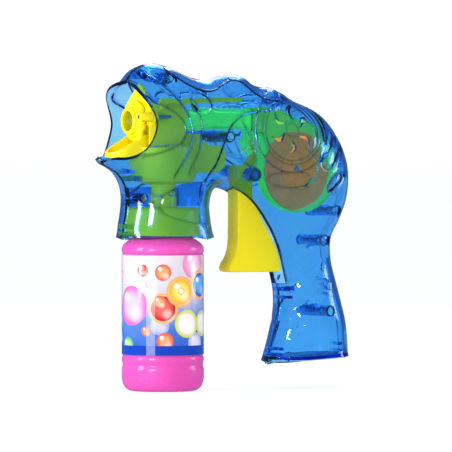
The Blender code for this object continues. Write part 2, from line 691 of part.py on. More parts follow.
# ------------------------------------------------------------------- front
def build_front(yellow, rubber):
    """The nozzle, its back plate, the drip funnel with its spout, the adaptor."""
    face = NOZZLE_FACE_X
    profile = [
        (APERTURE_RADIUS, face - 3.6), (6.6, face - 3.6), (7.0, face - 3.2), (7.2, face - 1.4),
        (8.6, face - 1.4), (8.8, face), (NOZZLE_RADIUS, face), (NOZZLE_RADIUS, face + 2.2),
        (8.4, face + 2.2), (8.4, face + 8.6), (6.9, face + 8.6), (6.6, face + 1.0),
        (APERTURE_RADIUS, face - 1.0),
    ]
    lathe("bubble_nozzle", profile, (0, 0, NOZZLE_Z), "X", yellow, 32)

    front, rear = face + 2.5, face + 4.6
    back = prism("nozzle_plate", PLATE, front, rear, yellow, axis="X")
    add(back, disc("lug", 2.6, front, rear, (0, *WIPER_PIVOT), "X", yellow, 16))
    cut(back, disc("bore", 8.7, front - 1, rear + 1, (0, 0, NOZZLE_Z), "X", yellow, 24))
    cut(back, disc("bore", 1.2, front - 1, rear + 1, (0, *WIPER_PIVOT), "X", yellow, 12))
    add(back, prism("shroud", SHROUD, front, SHROUD_REAR_X, yellow, axis="X"))

    bowl = []
    count = 24
    for z, shift, radius in CUP_OUTSIDE + CUP_INSIDE:
        for j in range(count):
            turn = math.tau * j / count
            bowl.append((BOTTLE_X + shift + radius * math.cos(turn), radius * math.sin(turn), z))
    rings = len(CUP_OUTSIDE) + len(CUP_INSIDE)
    funnel = make_object("drip_funnel", bowl, ring_faces(rings, count), yellow)
    ledge = prism("ledge", LEDGE, -6.0, 6.0, yellow)
    cut(ledge, prism("hollow", LEDGE_HOLLOW, -4.4, 4.4, yellow))
    add(funnel, ledge)
    spout = prism("spout", SPOUT, -8.6, 8.6, yellow)
    tip = [(-60.0 + 8.6 * math.cos(a), 8.6 * math.sin(a)) for a in np.radians(range(90, 271, 20))]
    plan = tip + [(-30.0, -8.6), (-30.0, 8.6)]
    verts = [(x, y, z) for z in (100.0, 160.0) for x, y in plan]
    faces = ring_faces(2, len(plan), closed=False)
    faces += [tuple(range(len(plan))), tuple(range(2 * len(plan) - 1, len(plan) - 1, -1))]
    combine(spout, make_object("tip", verts, faces, yellow, smooth=False), "INTERSECT")
    cut(spout, prism("hollow", SPOUT_HOLLOW, -7.2, 7.2, yellow))
    add(funnel, spout)
    cut(funnel, disc("clear", 11.1, face - 6, face + 30, (0, 0, NOZZLE_Z), "X", yellow, 24))

    low, top = 80.4, 93.6
    adaptor = [(15.9, low), (ADAPTOR_RADIUS, low), (ADAPTOR_RADIUS, top), (ADAPTOR_RADIUS - 1.5, top + 1.4),
               (7.0, top + 1.4), (7.0, 100.8), (5.4, 100.8), (5.4, top), (15.9, top)]
    lathe("bottle_adaptor", adaptor, (BOTTLE_X, 0, 0), "Z", yellow, 32)
    seal = [(12.2, 92.1), (15.4, 92.1), (15.4, 93.3), (12.2, 93.3)]
    lathe("bottle_seal", seal, (BOTTLE_X, 0, 0), "Z", rubber)


def build_wiper(yellow, steel):
    """The arm that draws a film across the nozzle, its pin and its push rod."""
    y, z = WIPER_PIVOT
    face = NOZZLE_FACE_X - 4.1
    arm = [(y - 1.6, z - 11.6), (y + 0.6, z - 12.6), (y + 2.0, z - 11.4), (y + 1.8, z - 4.0),
           (y + 2.2, z + 1.0), (y, z + 2.6), (y - 2.2, z + 1.0), (y - 1.8, z - 4.0)]
    wiper = prism("wiper_arm", arm, face - 1.3, face, yellow, axis="X")
    add(wiper, disc("hub", 2.5, face - 1.3, face + 6.2, (0, y, z), "X", yellow, 16))
    cut(wiper, disc("bore", 1.2, face - 3, face + 12, (0, y, z), "X", yellow, 12))
    move_origin(wiper, (face, y, z))
    disc("wiper_pin", 0.9, face - 1.2, face + 17.0, (0, y, z), "X", steel, 12)
    rod = [(-45.2, 151.3), (-45.2, 146.0), (-43.4, 146.0), (-41.8, 149.0), (2.4, 149.0), (2.4, 151.3)]
    rod = prism("wiper_rod", rod, -15.2, -13.8, yellow)
    move_origin(rod, (-20.0, -14.5, 150.0))


# ----------------------------------------------------------------- trigger
def build_trigger(layout, yellow, steel):
    x, z = TRIGGER_PIVOT
    head = [(x + 4.6 * math.cos(a), z + 4.6 * math.sin(a)) for a in np.radians([10, 50, 90, 130, 170])]
    outline = [(6.3, 86.0), (5.9, 75.0), (4.2, 69.0), (1.6, 65.6), (1.0, 62.8), (2.4, 60.9), (31.0, 60.6),
               (32.6, 62.0), (30.8, 70.0), (26.0, 80.0), (20.0, 90.5), (15.4, 101.0)] + head
    trigger = prism("trigger", outline, -TRIGGER_HALF_WIDTH, TRIGGER_HALF_WIDTH, yellow)
    hollow = [(8.3, 86.0), (7.9, 75.0), (6.2, 68.0), (4.6, 63.0), (40.0, 63.0), (40.0, 95.0),
              (14.0, 101.0), (8.3, 101.0)]
    wall = TRIGGER_HALF_WIDTH - 1.8
    cut(trigger, prism("hollow", hollow, -wall, wall, yellow))
    pitch = MODULE * SECTOR_TEETH / 2
    step = math.tau / SECTOR_TEETH
    teeth = tooth_outline(SECTOR_TEETH, -PINION_SHIFT, TRIGGER_PIVOT, SECTOR_BEARING, -5, 2)
    root = [(x + 3 * math.cos(a), z + 3 * math.sin(a)) for a in (SECTOR_BEARING + 1.0, SECTOR_BEARING - 1.2)]
    fan_web = [(x + (pitch - 3) * math.cos(a), z + (pitch - 3) * math.sin(a))
               for a in (SECTOR_BEARING - 5.4 * step, SECTOR_BEARING + 1.6 * step)]
    sector = prism("sector", [fan_web[0]] + teeth + [fan_web[1]] + root, -1.6, 1.6, yellow)
    add(trigger, sector)
    cut(trigger, disc("bore", 1.8, -9, 9, (x, 0, z), "Y", yellow, 14))
    move_origin(trigger, (x, 0, z))
    disc("trigger_pin", 1.5, -16.0, 16.0, (x, 0, z), "Y", steel, 14)


def build_trigger_spring(steel):
    """A torsion spring round the pin: a leg on the trigger and a leg on the body."""
    x, z = TRIGGER_PIVOT
    radius, wire = 2.5, 0.32
    path = [(x - 1.0 - 9.0, 7.0, z + 5.5), (x - 6.0, 7.0, z + 3.6)]
    turns, per_turn = 3, 8
    for k in range(turns * per_turn + 1):
        turn = math.radians(110) + math.tau * k / per_turn
        y = 7.2 + 1.9 * k / (turns * per_turn)
        path.append((x + radius * math.cos(turn), y, z + radius * math.sin(turn)))
    path += [(x - 5.4, 9.1, z + 1.0), (x - 10.0, 9.1, z - 1.6)]
    line = np.array(path)
    tangents = np.gradient(line, axis=0)
    tangents /= np.linalg.norm(tangents, axis=1)[:, None]
    segments, verts = 5, []
    side = np.cross(tangents[0], (0.0, 1.0, 0.3))
    for point, tangent in zip(line, tangents):
        side = side - tangent * side.dot(tangent)
        side /= np.linalg.norm(side)
        up = np.cross(tangent, side)
        for j in range(segments):
            turn = math.tau * j / segments
            verts.append(point + wire * (math.cos(turn) * side + math.sin(turn) * up))
    faces = ring_faces(len(line), segments, closed=False)
    last = len(verts) - segments
    faces += [tuple(range(segments)), tuple(range(last + segments - 1, last - 1, -1))]
    make_object("trigger_spring", verts, faces, steel)


# -------------------------------------------------------------------- pump
def build_pump(layout, lime, orange, clear):
    """Peristaltic pump: rollers that chase the tube round a ring."""
    x, z = layout["first"]
    low, high = PUMP_Y
    ring = lathe("pump_housing", [(10.0, low), (11.2, low), (11.2, high), (10.0, high)],
                 (x, 0, z), "Y", lime)
    gate = [(x - 14, z - 3.4), (x, z - 3.4), (x, z - 14.0), (x - 14, z - 14.0)]
    cut(ring, prism("gate", gate, low - 1, high + 1, lime))
    gate = [(x - 14, z + 5.4), (x - 3, z + 5.4), (x - 3, z + 14.0), (x - 14, z + 14.0)]
    cut(ring, prism("gate", gate, low - 1, high + 1, lime))
    add(ring, lathe("lid", [(2.4, high - 0.1), (11.2, high - 0.1), (11.2, high + 0.8), (2.4, high + 0.8)],
                    (x, 0, z), "Y", lime, 28))

    rotor = disc("pump_rotor", 6.0, low + 0.2, low + 0.9, (x, 0, z), "Y", orange, 24)
    add(rotor, disc("hub", 2.2, low + 0.6, high - 0.6, (x, 0, z), "Y", orange, 16))
    for k in range(3):
        turn = math.tau * k / 3 + 0.5
        px, pz = x + 4.2 * math.cos(turn), z + 4.2 * math.sin(turn)
        add(rotor, disc("stub", 0.6, low + 0.8, high - 0.6, (px, 0, pz), "Y", orange, 10))
        roller = lathe("pump_roller_%d" % (k + 1), [(0.85, low + 1.2), (1.65, low + 1.2), (1.65, high - 0.5),
                                                    (0.85, high - 0.5)], (px, 0, pz), "Y", clear, 14)
        move_origin(roller, (x, 0, z))
    cut(rotor, disc("bore", 1.3, low - 1, high + 1, (x, 0, z), "Y", orange, 12))
    move_origin(rotor, (x, 0, z))

    middle = (low + high) / 2 + 0.1
    loop = []
    for degrees in range(150, -121, -30):
        turn = math.radians(degrees)
        loop.append((x + PUMP_TUBE_LOOP * math.cos(turn), middle, z + PUMP_TUBE_LOOP * math.sin(turn)))
    loop[0] = (x - 9.0, middle, z + 8.0)
    loop[-1] = (x - 6.2, middle, z - 7.6)
    suction = [(BOTTLE_X, 0.0, 9.0), (BOTTLE_X, 0.0, 50.0), (BOTTLE_X, 0.0, 92.0),
               (BOTTLE_X + 0.2, 0.6, 103.0), (BOTTLE_X + 1.0, 2.0, 110.0), (-32.0, 5.0, 119.0),
               (-26.0, 8.6, 129.0), (-15.0, 12.0, 134.0), (-3.0, 13.2, 141.4), (8.0, 13.8, 146.8),
               (17.0, 13.8, 147.0), (22.4, middle, 143.2)]
    feed = [(x - 14.0, middle, z - 9.0), (2.0, 14.0, 124.5), (-14.0, 13.0, 127.0),
            (-28.0, 13.4, 134.0), (-38.5, 12.0, 141.0)]
    tube("pump_tube", suction + loop + feed, 1.35, 0.75, clear, segments=7, step=7.0)


# ------------------------------------------------------------------ bottle
def build_bottle(pink, film, clear):
    wall = BOTTLE_WALL
    outer = [(19.0, 0.0), (20.7, 1.2), (21.3, 4.0), (21.3, 11.8), (20.5, 12.8), (20.5, 14.4),
             (21.2, 15.4), (21.2, 17.8), (20.7, 18.4), (20.7, 71.2), (21.3, 71.9), (21.3, 74.2),
             (20.4, 75.8), (16.9, 78.6), (15.0, 79.2), (15.0, 81.5), (15.5, 82.2), (15.5, 83.4),
             (15.0, 84.2), (15.0, NECK_TOP)]
    inner = [(15.0 - wall, NECK_TOP), (15.0 - wall, 78.8), (19.3, 74.0), (19.3, 12.0), (20.0, 9.0),
             (20.0, 4.4), (18.6, 1.6)]
    bottle = lathe("bottle", outer + inner, (BOTTLE_X, 0, 0), "Z", pink, 32)
    add(bottle, disc("floor", 18.8, 0.0, 1.6, (BOTTLE_X, 0, 0), "Z", pink, 32))
    low, high = LABEL_SPAN
    lathe("bottle_label", [(20.95, low), (21.3, low), (21.3, high), (20.95, high)],
          (BOTTLE_X, 0, 0), "Z", film, 36)
    lathe("tube_filter", [(1.65, 5.0), (2.6, 5.0), (2.6, 12.0), (1.65, 12.0)],
          (BOTTLE_X, 0, 0), "Z", clear, 14)


def main():
    clear_scene()
    blue = make_material("blue_plastic", (0.05, 0.33, 0.85), 0.12, transmission=0.9)
    lime = make_material("lime_plastic", (0.35, 0.85, 0.08), 0.2, transmission=0.7)
    yellow = make_material("yellow_plastic", (0.95, 0.8, 0.0), 0.3)
    orange = make_material("orange_plastic", (0.85, 0.2, 0.02), 0.35)
    pink = make_material("pink_plastic", (0.9, 0.12, 0.58), 0.3)
    film = make_material("label_film", (0.8, 0.7, 0.85), 0.3)
    steel = make_material("steel", (0.62, 0.62, 0.64), 0.3, metallic=1.0)
    brass = make_material("brass", (0.75, 0.58, 0.25), 0.3, metallic=1.0)
    rubber = make_material("rubber", (0.03, 0.03, 0.03), 0.7)
    clear = make_material("clear_tube", (0.75, 0.9, 0.95), 0.15, transmission=0.8)

    field = BodyField()
    layout = gear_layout()
    build_shells(field, blue)
    build_body_screws(field, steel)
    build_gears(layout, yellow, steel)
    build_blower(layout, lime, orange, steel, brass)
    build_duct(lime)
    build_front(yellow, rubber)
    build_wiper(yellow, steel)
    build_trigger(layout, yellow, steel)
    build_trigger_spring(steel)
    build_pump(layout, lime, orange, clear)
    build_bottle(pink, film, clear)


main()
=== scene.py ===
"""Looks of the toy bubble gun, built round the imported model.

Lengths are in millimetres until a mesh is made; the frame is the model's own:
the muzzle points towards -X, the left shell is on -Y and +Z is up.
"""

import json
import math
import random

import bmesh
import bpy
import numpy as np
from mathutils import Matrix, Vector
from mathutils.geometry import delaunay_2d_cdt


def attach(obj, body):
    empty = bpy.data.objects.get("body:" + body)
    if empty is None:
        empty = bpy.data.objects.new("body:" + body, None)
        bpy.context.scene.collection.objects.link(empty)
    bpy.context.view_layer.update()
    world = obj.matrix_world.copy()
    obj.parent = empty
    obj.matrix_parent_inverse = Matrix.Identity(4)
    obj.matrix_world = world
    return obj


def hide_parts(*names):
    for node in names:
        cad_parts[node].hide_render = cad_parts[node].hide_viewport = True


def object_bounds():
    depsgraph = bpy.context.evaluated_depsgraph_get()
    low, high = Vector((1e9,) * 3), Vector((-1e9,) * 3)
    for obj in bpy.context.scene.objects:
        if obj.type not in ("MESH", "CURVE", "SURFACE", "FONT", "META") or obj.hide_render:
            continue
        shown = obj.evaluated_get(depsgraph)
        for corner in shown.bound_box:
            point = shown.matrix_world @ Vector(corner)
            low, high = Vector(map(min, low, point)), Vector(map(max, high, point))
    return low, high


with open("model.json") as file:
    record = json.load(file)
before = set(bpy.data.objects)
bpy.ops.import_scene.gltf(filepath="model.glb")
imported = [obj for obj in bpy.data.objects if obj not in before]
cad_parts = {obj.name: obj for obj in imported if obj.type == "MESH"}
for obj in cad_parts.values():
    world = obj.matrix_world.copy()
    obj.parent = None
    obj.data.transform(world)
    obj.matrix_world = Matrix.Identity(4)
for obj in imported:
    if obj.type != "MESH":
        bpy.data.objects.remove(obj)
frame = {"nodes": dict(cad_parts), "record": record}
CAD_LOW, CAD_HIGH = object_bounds()

MM = 0.001

# ---------------------------------------------------------------- body shell
WALL = 2.0
SEAM = 0.15              # half of the gap between the two shell halves
EDGE_STEP = 1.1          # spacing of points along the outline
EDGE_ROWS = (0.15, 0.55, 1.25, 2.3)   # insets of the rows that round the edge
GRID_STEP = 1.9          # spacing of the points inside the outline
LINE_STEP = 0.8          # spacing of the points along a relief line
FIELD_STEP = 0.2         # spacing of the samples that the distance uses

# Outline of the parting plane (x, z), clockwise from the brow.
TOP_AND_BACK = [
    (-57.8, 160.6), (-52.4, 166.6), (-43.9, 169.5), (-34.3, 168.0), (-26.5, 164.8),
    (-18.4, 161.9), (-11.0, 161.2), (-3.5, 162.4), (4.0, 163.8), (10.0, 162.8),
    (15.0, 159.3), (21.5, 157.2), (28.0, 156.6), (36.5, 152.4), (43.1, 149.2),
    (50.9, 146.1), (58.0, 141.2), (64.0, 134.0), (69.6, 124.0), (72.6, 112.0),
    (71.6, 98.0), (66.8, 86.0), (62.4, 78.0), (62.6, 67.0), (65.8, 55.5),
    (69.2, 44.0), (71.8, 34.0), (73.0, 22.0), (73.0, 16.5),
]
GRIP_END = [(73.0, 16.5), (50.0, 14.8), (26.2, 14.0)]
GRIP_FRONT_AND_ARCH = [
    (26.2, 14.0), (28.4, 21.5), (31.2, 31.0), (33.2, 41.0), (33.2, 50.5),
    (31.4, 58.5), (28.9, 68.6), (25.5, 77.6), (20.5, 86.5), (14.0, 95.2),
    (8.0, 100.2), (1.5, 103.4), (-4.6, 104.6), (-9.2, 102.2), (-11.0, 96.0),
    (-10.2, 88.0), (-8.4, 79.5),
]
SOCKET_END = [(-8.4, 79.5), (-34.0, 79.5), (-59.8, 79.5)]
SOCKET_FRONT = [
    (-59.8, 79.5), (-59.2, 86.0), (-58.0, 92.5), (-57.4, 100.0), (-58.6, 106.4),
    (-62.6, 112.2), (-67.6, 115.4), (-71.2, 117.2), (-72.2, 119.4),
]
MOUTH = [
    (-72.2, 119.4), (-69.6, 119.9), (-65.6, 119.9), (-61.4, 121.2), (-57.4, 124.9),
    (-54.1, 130.8), (-52.4, 137.0), (-53.0, 142.0), (-55.0, 147.4), (-57.4, 152.4), (-58.6, 156.8),
    (-57.8, 160.6),
]

# Half depth and corner radius of the body at named stations (x, z).
STATIONS = {
    "head": (-38.0, 142.0, 25.0, 27.0),
    "neck": (2.0, 136.0, 24.0, 24.0),
    "hump": (36.0, 114.0, 25.5, 24.0),
    "waist": (46.0, 84.0, 21.0, 21.0),
    "grip_top": (48.0, 62.0, 17.6, 17.0),
    "grip_base": (50.0, 25.0, 17.6, 17.0),
    "socket_base": (-34.0, 80.0, 21.3, 21.5),
    "socket_top": (-34.0, 102.0, 21.8, 22.0),
}
STATION_BLEND = 9.0

# Screws enter from the left shell: name -> (x, z).
SCREWS = {
    "head": (-38.5, 162.0), "chin": (-52.0, 100.0), "arch": (-8.0, 131.5),
    "hump": (60.5, 92.5), "waist": (54.5, 77.0), "grip": (56.0, 40.0),
}
POST_RADIUS = 2.9
SCREW_RADIUS = 1.1
SCREW_HEAD_RADIUS = 2.1
SCREW_DEPTH = 9.0
TRIGGER_PIVOT = (10.0, 112.0)
PIVOT_POST_RADIUS = 3.4
TRIGGER_SLOT_HALF_WIDTH = 7.2
# Opening for the trigger (x, z), cut through both halves next to the parting plane.
TRIGGER_SLOT = [(2.6, 90.0), (2.6, 108.5), (9.0, 107.0), (16.0, 101.0), (23.0, 92.0), (30.0, 80.0),
                (35.0, 68.0), (38.5, 54.5), (27.0, 54.5), (24.0, 66.0), (15.0, 82.0)]

# Locating tabs on the inside of the edge: (x, z, side of the body, reach, thickness).
TABS = [
    (-61.4, 114.4, 1, 6.5, 1.9), (-58.2, 110.6, 1, 8.0, 2.6), (-59.4, 85.3, 1, 6.5, 2.2),
    (-59.8, 81.4, 1, 7.5, 2.4), (33.0, 51.7, 1, 8.0, 2.2), (33.4, 47.3, 1, 6.5, 1.4),
    (28.2, 20.2, 1, 6.0, 1.4), (27.4, 17.2, 1, 6.5, 1.6), (71.6, 116.0, -1, 6.0, 2.4),
    (71.5, 109.0, -1, 6.0, 2.0), (65.8, 56.0, -1, 5.5, 1.0), (66.6, 53.2, -1, 5.5, 1.0),
    (67.4, 50.4, -1, 5.5, 1.0), (68.2, 47.6, -1, 5.5, 1.0), (73.0, 22.6, -1, 5.0, 1.4),
    (73.0, 19.2, -1, 5.0, 1.4),
]
TAB_REACH_Y = 7.5
FITTING_FACE = SEAM + 0.05           # fittings end just short of the rim of the shell
WEBS = [(-57.0, -43.3, 95.6, 105.8), (-27.0, -11.6, 95.6, 105.8)]    # x and z spans of the neck webs
LUGS = [(-50.6, 162.6, 1.9, 7.0), (32.3, 149.6, 2.0, 8.0)]          # x, z, radius, reach

# Moulded lines on each half: (points, closed, depth, width).
HEAD_EDGE = [
    (40.0, 153.5), (33.5, 151.6), (28.3, 149.8), (21.9, 146.3), (15.0, 144.9), (5.9, 144.0),
    (-1.0, 142.5), (-7.6, 137.3), (-11.0, 130.5), (-13.9, 123.2), (-16.4, 116.0), (-20.6, 109.7),
    (-24.0, 105.0), (-24.5, 98.0),
]
CREST_EDGE = [
    (-36.5, 164.5), (-33.7, 162.2), (-27.5, 158.6), (-18.7, 156.0), (-12.1, 156.5),
    (-5.6, 159.3), (1.1, 161.6), (5.9, 159.9), (10.2, 155.0), (17.5, 151.5), (27.0, 150.8),
]
LINES = [
    ([(-53.1, 166.4), (-48.7, 161.7), (-41.0, 153.9), (-35.0, 145.9), (-31.5, 136.4), (-31.6, 128.4),
      (-34.4, 120.6), (-40.3, 111.3)], False, 0.55, 0.42),
    ([(-30.5, 151.5), (-27.0, 145.1), (-25.8, 135.7), (-27.0, 124.3), (-32.0, 112.8)], False, 0.45, 0.5),
    ([(-55.3, 153.9), (-52.7, 150.3), (-45.9, 146.6), (-39.6, 142.7), (-35.5, 137.8), (-35.5, 132.6),
      (-39.5, 127.6), (-49.0, 123.8), (-57.5, 122.0)], False, 0.8, 0.6),
    ([(-19.9, 108.2), (-33.7, 107.6), (-43.8, 103.0), (-47.2, 98.8), (-46.7, 94.1), (-42.2, 90.5),
      (-29.8, 87.4), (-19.0, 86.2)], False, 0.6, 0.45),
    ([(-7.6, 136.8), (-5.5, 129.5), (-0.7, 120.1), (4.3, 116.0), (7.8, 117.5), (6.5, 124.3),
      (2.3, 133.6), (-1.1, 140.0)], False, 0.55, 0.4),
    ([(15.7, 109.2), (17.6, 112.0), (26.3, 112.6), (35.7, 112.4), (38.7, 109.2), (34.7, 105.8),
      (27.0, 105.0), (18.7, 106.2)], True, 0.6, 0.4),
    ([(64.0, 129.0), (57.3, 120.1), (51.4, 114.4), (46.7, 115.4), (46.1, 118.0), (52.2, 124.3),
      (58.0, 131.8)], False, 0.6, 0.4),
    ([(52.0, 101.4), (57.4, 105.6), (61.5, 109.2), (60.5, 112.4), (55.4, 110.6),
      (51.4, 105.4)], True, 0.5, 0.4),
]
INTAKE = (28.7, 134.7)
INTAKE_SLOTS = 6
INTAKE_RADII = (4.8, 13.0)
RINGS = [(INTAKE, 3.6, 0.5, 0.4), (INTAKE, 15.8, 0.5, 0.4), (INTAKE, 17.8, 0.4, 0.4),
         (INTAKE, 21.8, 0.7, 0.5), ((-24.6, 149.2), 6.3, 0.5, 0.4)]
LEAVES = [
    ((35.5, 69.8), (42.6, 74.4), 1.3, 1.2), ((36.5, 61.5), (41.0, 65.6), 1.2, 1.1),
    ((36.8, 54.4), (49.6, 64.6), 1.7, 1.7), ((37.2, 41.0), (54.6, 54.2), 1.9, 1.8),
    ((31.0, 15.6), (39.6, 34.0), 1.8, 1.8), ((35.4, 31.0), (36.2, 38.0), 1.1, 1.1),
]                        # dents on the grip: start, end, depth, half width
STEP_DEPTH = 0.85        # how far the body lies below the head's edge
STEP_FADE = 14.0         # over what distance the body comes up again
STEP_WIDTH = 0.45
STEP_START_Z = 98.0      # the step fades in above the socket
CREST_DEPTH = 0.6
CREST_FADE = 8.0
RELIEF_LIMIT = 1.9

# ----------------------------------------------------------- bottle and front
BOTTLE_X = -35.5
LABEL_SPAN = (19.0, 70.6)
LABEL_RADIUS = 21.3
NOZZLE_Z = 139.8
NOZZLE_FACE_X = -53.0
NOZZLE_RADIUS = 10.65
APERTURE_RADIUS = 5.3
DUCT_FRONT_X = -41.0
DUCT_REAR_X = 8.6
WIPER_PIVOT = (-15.2, 142.0)         # (y, z)
WIPER_BORE = 1.2
# The cup of the drip funnel, from the bottom up and back down: (z, shift in x, radius).
CUP_OUTSIDE = [(101.5, 0.0, 6.9), (107.0, 0.0, 7.1), (108.6, 0.0, 15.4), (111.0, 0.0, 17.0),
               (118.0, -0.6, 17.4), (126.5, -1.8, 17.8)]
CUP_INSIDE = [(126.5, -1.8, 16.2), (118.0, -0.6, 15.8), (111.8, 0.0, 15.4), (110.3, 0.0, 14.2),
              (108.8, 0.0, 5.5), (101.5, 0.0, 5.3)]
# The ledge behind the cup and the spout (x, z); the nozzle's plate and the shroud (y, z).
LEDGE = [(-19.6, 112.5), (-19.6, 133.0), (-13.6, 133.0), (-12.6, 127.0), (-4.5, 127.0), (-2.0, 124.5),
         (-2.0, 115.5), (-6.0, 112.5)]
LEDGE_HOLLOW = [(-17.2, 111.0), (-17.2, 131.4), (-15.0, 131.4), (-14.0, 125.4), (-5.1, 125.4),
                (-3.6, 123.9), (-3.6, 111.0)]
PLATE = [(-14.5, 137.0), (-14.5, 140.0), (-13.0, 147.0), (-7.5, 152.0), (0.0, 158.0),
         (7.5, 152.0), (13.0, 147.0), (14.5, 140.0), (14.5, 137.0)]
SPOUT = [(-68.6, 122.8), (-45.4, 135.8), (-45.4, 129.4), (-50.5, 124.0), (-60.0, 121.4),
         (-66.4, 120.6), (-68.6, 121.4)]
SPOUT_HOLLOW = [(-67.2, 122.2), (-75.0, 135.0), (-30.0, 150.0), (-36.0, 133.0), (-46.5, 131.2),
                (-54.0, 126.6), (-61.0, 123.2), (-65.5, 121.9)]
SPOUT_TIP_X = -60.0                  # where the rounded end of the spout starts
SPOUT_HALF_WIDTH = 8.6
SPOUT_WALL = 1.5
LEDGE_HALF_WIDTH = 6.0
LEDGE_WALL = 1.6
NOZZLE_ROOM_RADIUS = 11.1            # the cup is cut back by this round the nozzle
SHROUD = [(-13.2, 127.5), (-13.2, 146.5), (-9.5, 150.3), (8.0, 150.3), (8.0, 149.0), (-8.9, 149.0),
          (-11.9, 146.0), (-11.9, 127.5)]
SHROUD_REAR_X = -28.0
TRIGGER_HALF_WIDTH = 6.0
FAN_CENTRE = (37.8, 114.2)
FAN_RADIUS = 19.4
BLADE_COUNT = 8
HOUSING_Y = (-13.6, -6.4)
HOUSING_WALL = 1.2
HOUSING_BACK = 1.4
PUMP_Y = (12.2, 16.2)
PUMP_TUBE_LOOP = 8.3
FIRST_GEAR = (32.064, 129.239)
SECOND_GEAR = (47.680, 125.751)


# ------------------------------------------------------------------ mesh tools
def in_scene(name, data):
    """An object in the scene that shows a mesh, a lamp or a camera."""
    obj = bpy.data.objects.new(name, data)
    bpy.context.scene.collection.objects.link(obj)
    return obj


def shade(obj, sharp):
    """Smooth shading with sharp edges above an angle in degrees."""
    obj.data.shade_smooth()
    obj.data.set_sharp_from_angle(angle=math.radians(sharp))


def make_object(name, verts, faces, material, smooth=True, sharp=38):
    """A mesh object from vertices in millimetres, with outward faces."""
    mesh = bpy.data.meshes.new(name)
    mesh.from_pydata([tuple(MM * c for c in v) for v in verts], [], faces)
    mesh.materials.append(material)
    work = bmesh.new()
    work.from_mesh(mesh)
    bmesh.ops.recalc_face_normals(work, faces=work.faces)
    if work.calc_volume(signed=True) < 0:
        bmesh.ops.reverse_faces(work, faces=work.faces)
    work.to_mesh(mesh)
    work.free()
    obj = in_scene(name, mesh)
    if smooth:
        shade(obj, sharp)
    return obj


def apply_modifiers(obj):
    """Replace the mesh by what the modifiers make of it."""
    graph = bpy.context.evaluated_depsgraph_get()
    result = bpy.data.meshes.new_from_object(obj.evaluated_get(graph))
    obj.modifiers.clear()
    old = obj.data
    obj.data = result
    result.name = obj.name
    bpy.data.meshes.remove(old)
    return obj


def combine(target, tool, operation):
    """Apply a Boolean with a tool object, then remove the tool."""
    modifier = target.modifiers.new(operation.lower(), "BOOLEAN")
    modifier.operation = operation
    modifier.solver = "EXACT"
    modifier.object = tool
    apply_modifiers(target)
    bpy.data.objects.remove(tool, do_unlink=True)
    return target


def cut(target, tool):
    """Take a tool away from a solid."""
    return combine(target, tool, "DIFFERENCE")


def add(target, tool):
    """Fuse a tool with a solid."""
    return combine(target, tool, "UNION")


def joined(name, pieces):
    """One object from several tools that don't touch each other."""
    work = bmesh.new()
    for piece in pieces:
        work.from_mesh(piece.data)
        bpy.data.objects.remove(piece, do_unlink=True)
    mesh = bpy.data.meshes.new(name)
    work.to_mesh(mesh)
    work.free()
    return in_scene(name, mesh)


def bevel_edges(obj, width, segments, angle):
    """A Bevel modifier on the edges above an angle in degrees."""
    bevel = obj.modifiers.new("edges", "BEVEL")
    bevel.width = width * MM
    bevel.segments = segments
    bevel.limit_method = "ANGLE"
    bevel.angle_limit = math.radians(angle)
    bevel.harden_normals = False


def round_edges(obj, width, segments=3, angle=32):
    """Bevel the sharp edges and shade what is left smooth."""
    bevel_edges(obj, width, segments, angle)
    apply_modifiers(obj)
    shade(obj, 50)


def ring_faces(rings, segments, closed=True):
    """Quads between neighbouring rings of a tube; closed joins last to first."""
    faces = []
    for i in range(rings if closed else rings - 1):
        for j in range(segments):
            a, b = i * segments, (i + 1) % rings * segments
            k = (j + 1) % segments
            faces.append((a + j, a + k, b + k, b + j))
    return faces


def capped_faces(rings, segments):
    """Quads between the rings of a bar, and a flat face on its first and last ring."""
    last = (rings - 1) * segments
    ends = [tuple(range(segments)), tuple(range(last + segments - 1, last - 1, -1))]
    return ring_faces(rings, segments, closed=False) + ends


def polar(centre, radius, angle):
    """The point at an angle on a circle in the plane."""
    return (centre[0] + radius * math.cos(angle), centre[1] + radius * math.sin(angle))


def place(axis, height, u, v):
    """A point from its height along an axis and its place across it."""
    return {"X": (height, u, v), "Y": (u, height, v), "Z": (u, v, height)}[axis]


def revolved(profile, centre, axis, segments, wave=None):
    """Rings of points from a (radius, height) profile; wave may vary the radius with the turn."""
    verts = []
    for radius, height in profile:
        for j in range(segments):
            turn = math.tau * j / segments
            r = radius if wave is None else wave(radius, height, turn)
            local = place(axis, height, *polar((0.0, 0.0), r, turn))
            verts.append([c + o for c, o in zip(centre, local)])
    return verts


def lathe(name, profile, centre, axis, material, segments=96, wave=None):
    """Revolve a closed profile that stays clear of the axis."""
    verts = revolved(profile, centre, axis, segments, wave)
    return make_object(name, verts, ring_faces(len(profile), segments), material)


def turned(name, profile, centre, axis, material, segments=40, smooth=True):
    """A solid round bar whose radius follows a profile."""
    verts = revolved(profile, centre, axis, segments)
    return make_object(name, verts, capped_faces(len(profile), segments), material, smooth)


def disc(name, radius, low, high, centre, axis, material, segments=40):
    """A plain round bar between two heights along an axis."""
    return turned(name, [(radius, low), (radius, high)], centre, axis, material, segments)


def prism(name, outline, low, high, material, axis="Y", smooth=False):
    """Extrude an outline of (x, z), (y, z) or (x, y) along the remaining axis."""
    verts = [place(axis, depth, a, b) for depth in (low, high) for a, b in outline]
    return make_object(name, verts, capped_faces(2, len(outline)), material, smooth)


